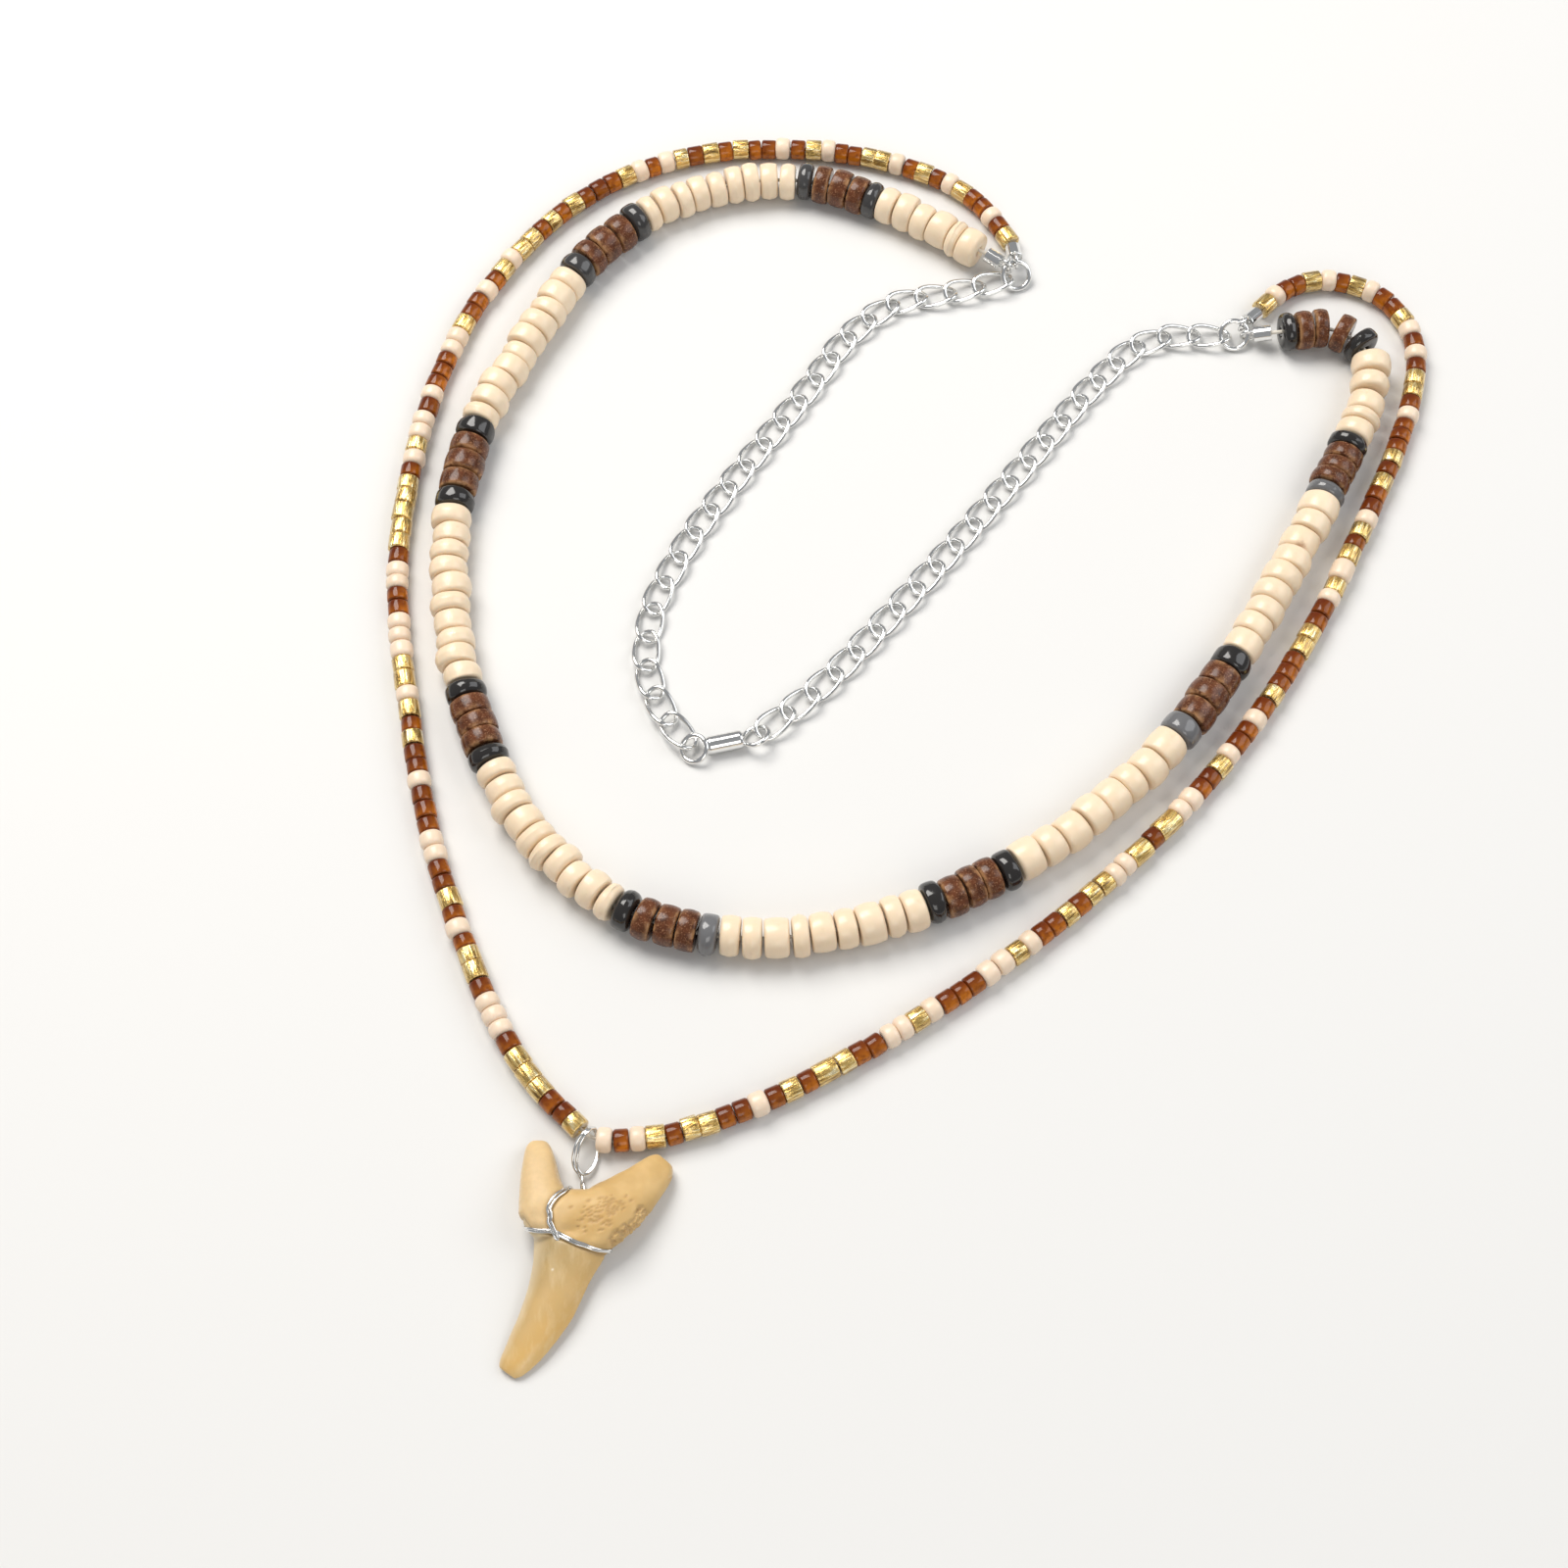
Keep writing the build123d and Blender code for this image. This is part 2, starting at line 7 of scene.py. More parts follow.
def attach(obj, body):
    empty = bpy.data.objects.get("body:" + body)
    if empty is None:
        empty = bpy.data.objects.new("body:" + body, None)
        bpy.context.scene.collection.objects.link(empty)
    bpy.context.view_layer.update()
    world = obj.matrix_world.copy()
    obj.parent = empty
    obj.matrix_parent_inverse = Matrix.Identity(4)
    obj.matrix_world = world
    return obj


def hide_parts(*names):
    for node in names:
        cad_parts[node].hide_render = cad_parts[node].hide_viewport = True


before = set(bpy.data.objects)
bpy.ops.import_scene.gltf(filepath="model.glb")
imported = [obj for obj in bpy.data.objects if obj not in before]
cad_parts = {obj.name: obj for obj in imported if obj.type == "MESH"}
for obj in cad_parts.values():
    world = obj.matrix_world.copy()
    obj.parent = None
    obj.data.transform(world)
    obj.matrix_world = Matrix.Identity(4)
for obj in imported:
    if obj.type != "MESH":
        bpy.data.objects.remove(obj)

bl_info = {
    "name": "Shark tooth necklace",
    "version": (1, 0, 0),
    "blender": (4, 5, 0),
    "location": "View3D > Sidebar > Necklace",
    "description": "Builds a two-strand bead necklace with link chains and a wire-wrapped tooth",
    "category": "Object",
}

MM = 0.001
UP = np.array([0, 0, 1.0])
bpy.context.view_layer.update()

# Routes of the outer strand in millimetres, as in the part's source, at the strand's height
OUTER_HEIGHT = 1.5
LEFT_ROUTE = [
    (32.1, 83.8), (28.5, 92), (16.5, 98.8), (1.5, 101.6), (-14.5, 100.2), (-29, 92.8), (-39.5, 80.3),
    (-46.5, 65.5), (-50.2, 47.5), (-51.2, 29), (-48, 9.5), (-44, -9.2), (-37, -28), (-30.3, -40.3),
    (-23.65, -46.25),
]
RIGHT_ROUTE = [
    (-22.3, -47.2), (-17.3, -47.7), (-6, -44.4), (9.5, -36.6), (25.5, -26), (42, -12.6), (56.5, 3),
    (68, 20), (77, 37.5), (84, 52.5), (87, 62.5), (86.9, 69.8), (82.9, 75.6), (76.4, 78.1), (69.5, 76.5),
    (65.9, 72.2),
]

# Stringing order of the small beads from the left end ring: b amber, g gold foil, G long gold, c cream
LEFT_ORDER = (
    "gbcbbgcbgbcggbbc" "gbcbbgbgbgcbcgbbbgbgbggcgbcbbg"
    "ccbbbcbccgcbgggggbccbbcccggcgbgbb" "cbbbccbbgbcbggbcccbgggbbg"
)
RIGHT_ORDER = (
    "cbcgbggbbcbgbGgbbccgcbbbcc" "gcbbgbggccGbGccbbgcbbcbg"
    "bbbggbbcgCgbgcbbgbgbbbcbggbcbc" "gbbcgbcgbbcg"
)


# Paths and surfaces

def read(collection, key, width, kind=float):
    """One of a collection's values, as the rows of an array."""
    values = np.empty(width * len(collection), kind)
    collection.foreach_get(key, values)
    return values.reshape(-1, width)


def in_scene(name, data):
    """A new object in the scene, from a mesh, a light or a camera."""
    thing = bpy.data.objects.new(name, data)
    bpy.context.scene.collection.objects.link(thing)
    return thing


def smooth_path(points, steps=24):
    """Points in metres along the third-order NURBS curve whose control points are given in millimetres."""
    curve = bpy.data.curves.new("path", "CURVE")
    curve.dimensions = "3D"
    spline = curve.splines.new("NURBS")
    spline.points.add(len(points) - 1)
    for point, place in zip(spline.points, points):
        point.co = (*[value * MM for value in place], 1)
    spline.order_u = 3
    spline.use_endpoint_u = True
    spline.resolution_u = steps
    holder = bpy.data.objects.new("path", curve)
    mesh = bpy.data.meshes.new_from_object(holder)
    places = read(mesh.vertices, "co", 3)
    bpy.data.meshes.remove(mesh)
    bpy.data.objects.remove(holder)
    bpy.data.curves.remove(curve)
    return places


def path_lengths(path):
    """The distance along a path to each of its points."""
    return np.concatenate([[0], np.cumsum(np.linalg.norm(np.diff(path, axis=0), axis=1))])


def at_distances(path, distances):
    """Places at some distances along a path, and the unit directions from just before them to just after."""
    lengths = path_lengths(path)

    def places(distances):
        return np.stack([np.interp(distances, lengths, path[:, axis]) for axis in range(3)], axis=1)

    step = lengths[-1] / 2000
    return places(distances), unit(places(distances + step) - places(distances - step))


def evenly(path, count):
    """A path's points again, at even distances."""
    lengths = path_lengths(path)
    return at_distances(path, np.linspace(0, lengths[-1], count))[0]


def unit(vectors):
    """Vectors of length one, along the last axis."""
    return vectors / np.maximum(np.linalg.norm(vectors, axis=-1, keepdims=True), 1e-12)


def circle(around):
    """Angles in even steps round a circle."""
    return np.arange(around) * 2 * np.pi / around


def squared(wave, power):
    """A sine or cosine made squarer or rounder: its sign times its size to a power."""
    return np.sign(wave) * np.abs(wave) ** power


def hump(distance, width):
    """A soft hump: exp(-(distance / width)^2)."""
    return np.exp(-(distance / width) ** 2)


def grid_faces(rows, columns, close_rows=False):
    """Four-sided faces of a grid with closed rows: each joins two neighbours in a row and in the next row."""
    row = np.arange(rows if close_rows else rows - 1)[:, None]
    column = np.arange(columns)[None, :]
    next_row, next_column = (row + 1) % rows, (column + 1) % columns
    corners = [row * columns + column, row * columns + next_column,
               next_row * columns + next_column, next_row * columns + column]
    return np.stack(np.broadcast_arrays(*corners), axis=-1).reshape(-1, 4)


def outward(points, faces):
    """The faces, turned round where the surface encloses a negative volume."""
    first, second, third, fourth = (points[faces[:, index]] for index in range(4))
    volume = np.einsum("ij,ij->i", first, np.cross(second, third) + np.cross(third, fourth)).sum()
    return faces if volume > 0 else faces[:, ::-1]


def repeated(points, faces):
    """One set of points and faces from copies (copy, point, axis) that share their faces."""
    copies, count = points.shape[:2]
    offsets = (np.arange(copies) * count)[:, None, None]
    return points.reshape(-1, 3), (outward(points[0], faces)[None] + offsets).reshape(-1, 4)


def make_piece(name, points, faces, material, slot, values=None):
    """A smooth piece from points in metres and faces, with point values for its material."""
    mesh = bpy.data.meshes.new(name)
    mesh.from_pydata(points.tolist(), [], faces.tolist())
    mesh.shade_smooth()
    for key, value in (values or {}).items():
        attribute = mesh.attributes.new(key, "FLOAT", "POINT")
        attribute.data.foreach_set("value", np.asarray(value, np.float32).ravel())
    mesh.materials.append(material)
    mesh.validate()
    piece = in_scene(name, mesh)
    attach(piece, "root")
    return piece


def ripple(angle, chance, count, orders=(1, 2, 3, 5), size=1.0):
    """A soft wave round a circle for each copy: the sum of size / order * cos(order * angle + phase)."""
    wave = 0
    for order in orders:
        phase = chance.uniform(0, 2 * np.pi, (count, 1))
        height = chance.uniform(0.4, 1, (count, 1)) * size / order
        wave = wave + height * np.cos(order * angle[None, :] + phase)
    return wave


def rings(first, second, angles):
    """Unit circles cos * first + sin * second, one for each pair of directions."""
    cos, sin = np.cos(angles)[None, :, None], np.sin(angles)[None, :, None]
    return cos * first[:, None, :] + sin * second[:, None, :]


def turned_shapes(profile_x, profile_r, middles, ahead, angles):
    """Profiles turned about their axes: middle + x * ahead + r * (cos * side + sin * up), per copy.

    profile_x and profile_r are (copy, profile, angle) or shapes that broadcast to it.
    """
    up = unit(UP - ahead * ahead[:, 2:3])
    side = np.cross(up, ahead)
    ring = rings(side, up, angles)
    points = middles[:, None, None, :] + profile_x[..., None] * ahead[:, None, None, :]
    points = points + profile_r[..., None] * ring[:, None, :, :]
    return points.reshape(len(middles), -1, 3)


def round_bar(path, radius, reference, around=10, close=False):
    """A round bar: path + radius * (cos * first + sin * second), with first square to a fixed direction.

    A closed bar runs back into its start, and an open one's ends are drawn to their middles.
    """
    if close:
        ahead = unit(np.roll(path, -1, axis=0) - np.roll(path, 1, axis=0))
    else:
        ahead = unit(np.gradient(path, axis=0))
    first = unit(np.cross(ahead, np.asarray(reference, float)))
    points = path[:, None, :] + radius * rings(first, np.cross(ahead, first), circle(around))
    if not close:
        start, end = (np.repeat(path[index][None, None], around, axis=1) for index in (0, -1))
        points = np.concatenate([start, points, end])
    faces = grid_faces(len(points), around, close_rows=close)
    points = points.reshape(-1, 3)
    return points, outward(points, faces)


def joined(shapes):
    """One set of points and faces from several."""
    offset, all_points, all_faces = 0, [], []
    for points, faces in shapes:
        all_points.append(points)
        all_faces.append(faces + offset)
        offset += len(points)
    return np.concatenate(all_points), np.concatenate(all_faces)


def solids_of(node):
    """The separate solids of a node: their middles, main directions and half sizes along these.

    Loose triangles that share corners get one label, and the directions are those of the spread of the
    triangles' middles, weighted by their areas, from the longest to the shortest.
    """
    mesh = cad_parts[node].data
    corners, back = np.unique(np.round(read(mesh.vertices, "co", 3), 8), axis=0, return_inverse=True)
    mesh.calc_loop_triangles()
    triangles = back.reshape(-1)[read(mesh.loop_triangles, "vertices", 3, np.int32)]
    label = np.arange(len(corners))
    while True:
        lowest = label[triangles].min(axis=1)
        spread = label.copy()
        np.minimum.at(spread, triangles.ravel(), np.repeat(lowest, 3))
        spread = spread[spread]
        if (spread == label).all():
            break
        label = spread
    found = []
    for value in np.unique(label[triangles[:, 0]]):
        mine = triangles[label[triangles[:, 0]] == value]
        a, b, c = corners[mine[:, 0]], corners[mine[:, 1]], corners[mine[:, 2]]
        area = np.linalg.norm(np.cross(b - a, c - a), axis=1)
        centre = ((a + b + c) / 3 * area[:, None]).sum(axis=0) / area.sum()
        offset = (a + b + c) / 3 - centre
        spread, directions = np.linalg.eigh(np.einsum("i,ij,ik->jk", area, offset, offset))
        directions = directions.T[::-1]
        reach = (corners[np.unique(mine)] - centre) @ directions.T
        centre = centre + ((reach.max(axis=0) + reach.min(axis=0)) / 2) @ directions
        found.append((centre, directions, (reach.max(axis=0) - reach.min(axis=0)) / 2))
    return tuple(np.array(column) for column in zip(*found))


# Tooth sizes in millimetres and tables of sections, as in the part's source
NECK_PLACE = (-24.2, -58.6)
NECK_WIDTH = 10.8
CROWN_LENGTH = 17.5
CROWN_THICKNESS = 3.7
CROWN_AXIS = np.radians(-114.4)
ROOT_WIDTH = 17.4
ROOT_RISE = 11.4
ROOT_THICKNESS = 4.9
# Along, aside, turn in degrees, width, thickness, lift
CROWN_SECTIONS = [
    (-0.06, 0.0, 16, 1.02, 0.95, 0.22), (0.11, 0.05, 19, 0.81, 0.95, 0.2),
    (0.30, 0.08, 17, 0.65, 0.9, 0.1), (0.55, 0.11, 11, 0.56, 0.8, 0.03),
    (0.79, 0.075, 2, 0.445, 0.58, 0.015), (0.93, 0.03, -6, 0.34, 0.38, 0.015),
    (0.99, 0.0, -10, 0.23, 0.2, 0.03),
]
# Across, up, heading in degrees, width, thickness, lift
LEFT_LOBE_SECTIONS = [
    (-0.10, -0.08, 96, 0.28, 0.6, 0.24), (-0.14, 0.08, 100, 0.36, 0.82, 0.18),
    (-0.2, 0.27, 106, 0.34, 0.92, 0.13), (-0.236, 0.51, 100, 0.275, 0.88, 0.025),
    (-0.253, 0.74, 94, 0.225, 0.72, 0.012), (-0.262, 0.91, 90, 0.175, 0.52, 0.012),
    (-0.262, 0.985, 88, 0.11, 0.32, 0.05),
]
RIGHT_LOBE_SECTIONS = [
    (-0.02, -0.16, 55, 0.24, 0.55, 0.24), (0.09, -0.02, 48, 0.34, 0.8, 0.18),
    (0.2, 0.15, 40, 0.42, 0.92, 0.13), (0.33, 0.32, 43, 0.385, 0.9, 0.025),
    (0.45, 0.51, 47, 0.30, 0.74, 0.012), (0.55, 0.69, 50, 0.225, 0.54, 0.012),
    (0.592, 0.78, 50, 0.14, 0.34, 0.05),
]
BODY_SECTIONS = [
    (-0.25, 0.18, -12, 0.2, 0.68, 0.2), (-0.15, 0.185, -8, 0.3, 0.84, 0.18),
    (-0.05, 0.175, -8, 0.325, 0.85, 0.18), (0.06, 0.17, -3, 0.335, 0.87, 0.17),
    (0.17, 0.16, 2, 0.33, 0.84, 0.17), (0.27, 0.15, 5, 0.24, 0.66, 0.2),
]
# Lines on the tooth, x and y in millimetres: where root and crown meet, the furrow that a wire lies in, the
# valley between the lobes where shade is painted, and the chipped shoulder
ROOT_LINE = [(-31, -57.2), (-29.9, -57.4), (-28.9, -58.7), (-26.9, -59.2), (-24.6, -60.2), (-23.3, -60.75),
             (-21.9, -61.05), (-20.1, -61.3), (-17, -60.9)]
FURROW = [(-25.2, -54.2), (-25.9, -55), (-26.5, -55.9), (-26.85, -56.8), (-26.9, -57.7), (-26.5, -59.1)]
VALLEY_SHADE_LINE = [(-26.2, -50.2), (-25.6, -52), (-24.9, -53.5), (-23.6, -53.9), (-21, -53)]
CHIP_LINE = [(-16.2, -56.7), (-16.7, -58.1), (-18.2, -59.2), (-19.2, -60.1)]
# The pores: middle and reach of their patch, its turn, their number and how each is drawn out
PORE_PATCH = {"middle": (-20.9, -57.0), "reach": (3.0, 1.5), "turn": np.radians(28), "count": 110,
              "drawn": (0.6, 1.1)}
# The gap between tooth and floor
FLOOR_GAP = 0.03
# The wires' routes, x, y and z, the first two closed
NECK_WIRE = [
    (-24.4, -59.25, 0.38), (-28.4, -58.4, 0.6), (-30, -57.9, 1.9), (-29.4, -58.1, 3.15),
    (-28.2, -58.9, 4.15), (-26.6, -59.2, 4.65), (-25.4, -59.75, 4.85), (-23.3, -60.7, 4.7),
    (-21.4, -61.1, 3.9), (-20.1, -61.3, 2.9), (-19.3, -61, 1.9), (-20.8, -60.6, 0.7),
]
OVER_WIRE = [
    (-26, -59.5, 4.4), (-26.7, -58.6, 5), (-26.95, -57.4, 5.3), (-26.8, -56.2, 5.4), (-26.2, -55.1, 5.2),
    (-25.2, -54.2, 4.4), (-24.6, -53.9, 2.4), (-24.7, -54.7, 0.6), (-25.2, -56.8, 0.42),
    (-24.9, -59.2, 0.38),
]
STEM = [(-23.85, -51.2, 0.65), (-23.3, -52.9, 0.5), (-23.8, -55, 0.4), (-24.15, -59.1, 0.4)]
# The hanging ring: its place, the direction towards the tooth, and its turn as ahead, right, height
HANGING_PLACE = (-22.95, -47.1)
HANGING_HEADING = np.radians(-102.5)
HANGING_TURN = [
    (-1.35, 0.1, 1.6), (-1.0, -0.3, 2.45), (-0.3, -0.5, 2.85), (0.4, -0.9, 2.7), (1.1, -1.2, 2.3),
    (2.1, -1.25, 1.95), (3.1, -1.15, 1.4), (3.9, -0.7, 1.0), (4.25, 0.0, 0.8), (3.95, 0.7, 0.7),
    (3.1, 1.15, 0.6), (2.1, 1.3, 0.5), (1.2, 1.25, 0.4), (0.3, 1.05, 0.33), (-0.5, 0.75, 0.36),
    (-1.1, 0.4, 0.75),
]
# Its two turns: share of the width, shift to the right and rise
HANGING_TURNS = ((1.0, 0.0, 0.0), (0.86, 0.32, 0.05))
# How far the stem's two strands turn round each other, how far they lie from its middle and how thick the
# hanging ring is, as shares of a strand's radius, and the steps along the ring and the stem
STEM_TWIST = 5 * np.pi
STEM_SPREAD = 1.05
HANGING_RADIUS = 1.15
HANGING_STEPS = 119
STEM_STEPS = 90


def between(rows, steps):
    """A table's rows joined smoothly: cubic Hermite pieces, each row's slope half the step across it."""
    rows = np.asarray(rows, float)
    slope = np.gradient(rows, axis=0)
    at = np.linspace(0, len(rows) - 1, steps)
    index = np.minimum(at.astype(int), len(rows) - 2)
    t = (at - index)[:, None]
    first = (2 * t**3 - 3 * t**2 + 1) * rows[index] + (t**3 - 2 * t**2 + t) * slope[index]
    return first + (3 * t**2 - 2 * t**3) * rows[index + 1] + (t**3 - t**2) * slope[index + 1]


def level(angle):
    """Level unit directions at some angles from +X."""
    return np.stack([np.cos(angle), np.sin(angle), np.zeros_like(angle)], axis=-1)


def capped_skin(middle, across, x, y):
    """A skin through sections in millimetres, with both ends drawn to their middles.

    A section's points are middle + x * across + y * up, with across level.
    """
    sections = (middle[:, None] + x[..., None] * across[:, None] + y[..., None] * UP) * MM
    middle = sections.mean(axis=1, keepdims=True)
    start, end = (np.broadcast_to(middle[index], sections[:1].shape) for index in (0, -1))
    sections = np.concatenate([start, sections, end])
    points = sections.reshape(-1, 3)
    return points, outward(points, grid_faces(*sections.shape[:2]))


def crown_skin(steps=60, around=48, upper=0.65, lower=0.35):
    """The crown: lens sections between two arcs that meet at its edges, one over and one under them.

    Their rises are the upper and lower shares of the thickness, and an arc with half the section's width
    and some rise has the radius (half^2 + rise^2) / (2 * rise).
    """
    along, aside, turn, width, thick, lift = between(CROWN_SECTIONS, steps).T
    half, thick, lift = width * NECK_WIDTH / 2, thick * CROWN_THICKNESS, lift * CROWN_THICKNESS
    middle = np.array([*NECK_PLACE, 0]) + along[:, None] * CROWN_LENGTH * level(CROWN_AXIS)
    middle = middle + aside[:, None] * NECK_WIDTH * level(CROWN_AXIS + np.pi / 2) + lift[:, None] * UP
    share = np.linspace(1, -1, around // 2, endpoint=False)

    def arc(rise, share):
        radius = (half**2 + rise**2) / (2 * rise)
        angle = np.arcsin(np.minimum(half / radius, 1))[:, None] * share
        return radius[:, None] * np.sin(angle), radius[:, None] * (1 - np.cos(angle))

    top_x, top_drop = arc(upper * thick, share)
    low_x, low_rise = arc(lower * thick, -share)
    x = np.concatenate([top_x, low_x], axis=1)
    y = np.concatenate([thick[:, None] - top_drop, low_rise], axis=1)
    return capped_skin(middle, level(CROWN_AXIS + np.radians(turn) + np.pi / 2), x, y)


def lobe_skin(sections, steps=40, around=44, squareness=2.35):
    """A root lobe: sections |x / a|^n + |y / b|^n = 1, square to the lobe's heading."""
    across_share, up_share, heading, width, thick, lift = between(sections, steps).T
    middle = np.stack([NECK_PLACE[0] + across_share * ROOT_WIDTH, NECK_PLACE[1] + up_share * ROOT_RISE,
                       (lift + thick / 2) * ROOT_THICKNESS], axis=1)
    angle = circle(around)
    x = squared(np.cos(angle), 2 / squareness) * width[:, None] * ROOT_WIDTH / 2
    y = squared(np.sin(angle), 2 / squareness) * thick[:, None] * ROOT_THICKNESS / 2
    return capped_skin(middle, level(np.radians(heading) - np.pi / 2), x, y)


def one_skin(points, faces, voxel, smoothing):
    """Overlapping closed shapes as one even skin: a voxel remesh, then smoothing.

    Returns the points, the four-sided faces and the points' normals.
    """
    mesh = bpy.data.meshes.new("rough")
    mesh.from_pydata(points.tolist(), [], faces.tolist())
    holder = in_scene("rough", mesh)
    remesh = holder.modifiers.new("Remesh", "REMESH")
    remesh.mode = "VOXEL"
    remesh.voxel_size = voxel
    smooth = holder.modifiers.new("Smooth", "SMOOTH")
    smooth.factor = 0.5
    smooth.iterations = smoothing
    evaluated = holder.evaluated_get(bpy.context.evaluated_depsgraph_get())
    result = bpy.data.meshes.new_from_object(evaluated)
    places, normals = read(result.vertices, "co", 3), read(result.vertices, "normal", 3)
    faces = read(result.loops, "vertex_index", 1, np.int32).reshape(-1, 4)
    bpy.data.objects.remove(holder)
    bpy.data.meshes.remove(mesh)
    bpy.data.meshes.remove(result)
    return places, faces, normals


def cloud(places, size, chance, waves=28):
    """Soft noise from about -1 to 1: waves sin(2 pi f . p + phase) in random directions, added and scaled."""
    direction = unit(chance.normal(0, 1, (waves, 3))) / size * chance.uniform(0.6, 1.6, (waves, 1))
    phase = chance.uniform(0, 2 * np.pi, waves)
    return np.sin(2 * np.pi * places @ direction.T + phase).mean(axis=1) * np.sqrt(2 * waves) / 2.2


def distance_to_line(places, line):
    """Level distances in millimetres to a line of points."""
    line = between(line, 40)
    return np.sqrt(((places[:, None, :2] - line[None]) ** 2).sum(axis=2).min(axis=1))


def step_up(value, low, high):
    """0 below low, 1 above high and 3 t^2 - 2 t^3 between."""
    t = np.clip((value - low) / (high - low), 0, 1)
    return t * t * (3 - 2 * t)


def laid_path(path, skin, lift, aside, rounds=6):
    """A closed path moved onto a skin, lift above it and aside across it, then eased by running means."""
    found = [skin.find_nearest(Vector(place)) for place in path]
    places = np.array([near[0] for near in found])
    normals = np.array([near[1] for near in found])
    for _ in range(rounds):
        normals = unit(np.roll(normals, 1, axis=0) + 2 * normals + np.roll(normals, -1, axis=0))
    ahead = unit(np.roll(places, -3, axis=0) - np.roll(places, 3, axis=0))
    places = places + lift * normals + aside * unit(np.cross(ahead, normals))
    for _ in range(rounds):
        places = (np.roll(places, 1, axis=0) + 2 * places + np.roll(places, -1, axis=0)) / 4
    return places


# Materials

def shaded(colour, share):
    """A colour made darker."""
    return [share * value for value in colour]


class Look:
    """A procedural material: a Principled shader, and the nodes that make its patterns."""

    def __init__(self, name, **inputs):
        """Starts the material, with plain values for some of the shader's inputs, named with low dashes."""
        self.material = bpy.data.materials.new(name)
        self.material.use_nodes = True
        self.tree = self.material.node_tree
        self.tree.nodes.clear()
        output = self.node("OutputMaterial")
        self.shader = self.node("BsdfPrincipled")
        self.put(output.inputs["Surface"], self.shader.outputs["BSDF"])
        for key, value in inputs.items():
            self.put(self.shader.inputs[key.replace("_", " ")], value)

    def node(self, kind, inputs=(), **settings):
        """A new shader node, with its settings and the sources of its first inputs in order."""
        node = self.tree.nodes.new("ShaderNode" + kind)
        for key, value in settings.items():
            setattr(node, key, value)
        for target, source in zip(node.inputs, inputs):
            self.put(target, source)
        return node

    def put(self, target, source):
        """Links an output, or a point value by its name, or sets a value, to an input."""
        if isinstance(source, str):
            source = self.node("Attribute", attribute_name=source).outputs["Fac"]
        if isinstance(source, bpy.types.NodeSocket):
            self.tree.links.new(source, target)
        else:
            target.default_value = source

    def noise(self, scale, detail=3.0, roughness=0.55, vector=None, stretch=None):
        """Noise on Object coordinates, or on a given vector, stretched along an axis if asked."""
        if vector is None:
            vector = self.node("TexCoord").outputs["Object"]
        if stretch is not None:
            mapping = self.node("Mapping")
            self.put(mapping.inputs["Scale"], stretch)
            self.put(mapping.inputs["Vector"], vector)
            vector = mapping.outputs["Vector"]
        texture = self.node("TexNoise")
        self.put(texture.inputs["Vector"], vector)
        for key, value in (("Scale", scale), ("Detail", detail), ("Roughness", roughness)):
            self.put(texture.inputs[key], value)
        return texture.outputs["Fac"]

    def ramp(self, factor, stops):
        """A colour ramp through (position, colour) stops."""
        node = self.node("ValToRGB", [factor])
        elements = node.color_ramp.elements
        while len(elements) > 1:
            elements.remove(elements[-1])
        elements[0].position, elements[0].color = stops[0][0], (*stops[0][1], 1)
        for position, colour in stops[1:]:
            elements.new(position).color = (*colour, 1)
        return node.outputs["Color"]

    def fade(self, factor, low, high):
        """A factor carried from low..high to 0..1, clamped."""
        return self.node("MapRange", [factor, low, high]).outputs["Result"]

    def times(self, first, second):
        """The product of two factors."""
        return self.node("Math", [first, second], operation="MULTIPLY").outputs[0]

    def plus(self, first, second):
        """The sum of two factors."""
        return self.node("Math", [first, second], operation="ADD").outputs[0]

    def mix(self, first, second, factor, share=1.0):
        """Blends two colours by a share of a factor."""
        node = self.node("Mix", data_type="RGBA")
        self.put(node.inputs["Factor"], factor if share == 1 else self.times(factor, share))
        for socket, colour in ((node.inputs[6], first), (node.inputs[7], second)):
            self.put(socket, colour if isinstance(colour, bpy.types.NodeSocket) else (*colour, 1))
        return node.outputs[2]

    def bumps(self, height, strength, distance=0.0001):
        """Raises the surface by a height pattern."""
        node = self.node("Bump")
        for key, source in (("Strength", strength), ("Distance", distance), ("Height", height)):
            self.put(node.inputs[key], source)
        self.put(self.shader.inputs["Normal"], node.outputs["Normal"])

    def coloured(self, base):
        """The finished material, with its colour."""
        self.put(self.shader.inputs["Base Color"], base)
        return self.material


def shell_material(colour):
    """Satin cream shell: cloudy shades, each disc its own tone, faint stains and one brown flaw."""
    look = Look("shell", Roughness=0.33, Subsurface_Weight=0.18, Subsurface_Radius=(0.0016, 0.001, 0.0006),
                Coat_Weight=0.12)
    horn, stain, brown = (0.84, 0.66, 0.45), (0.62, 0.42, 0.26), (0.33, 0.14, 0.05)
    base = look.ramp(look.noise(260, 4), [(0.3, shaded(colour, 0.93)), (0.7, colour)])
    base = look.mix(base, horn, "tone", 0.5)
    base = look.mix(base, stain, look.fade(look.noise(900, 5), 0.62, 0.78), 0.25)
    base = look.mix(base, brown, look.times("flaw", look.fade(look.noise(1100), 0.3, 0.6)))
    look.bumps(look.noise(2600), 0.12)
    return look.coloured(base)


def black_material(colour):
    """Glossy black, with a few of the discs made grey by their tone."""
    look = Look("black_glass", Roughness=0.12, Coat_Weight=0.2)
    grey = (0.17, 0.17, 0.175)
    look.bumps(look.noise(1500, 2), 0.05)
    return look.coloured(look.mix(colour, grey, "tone"))


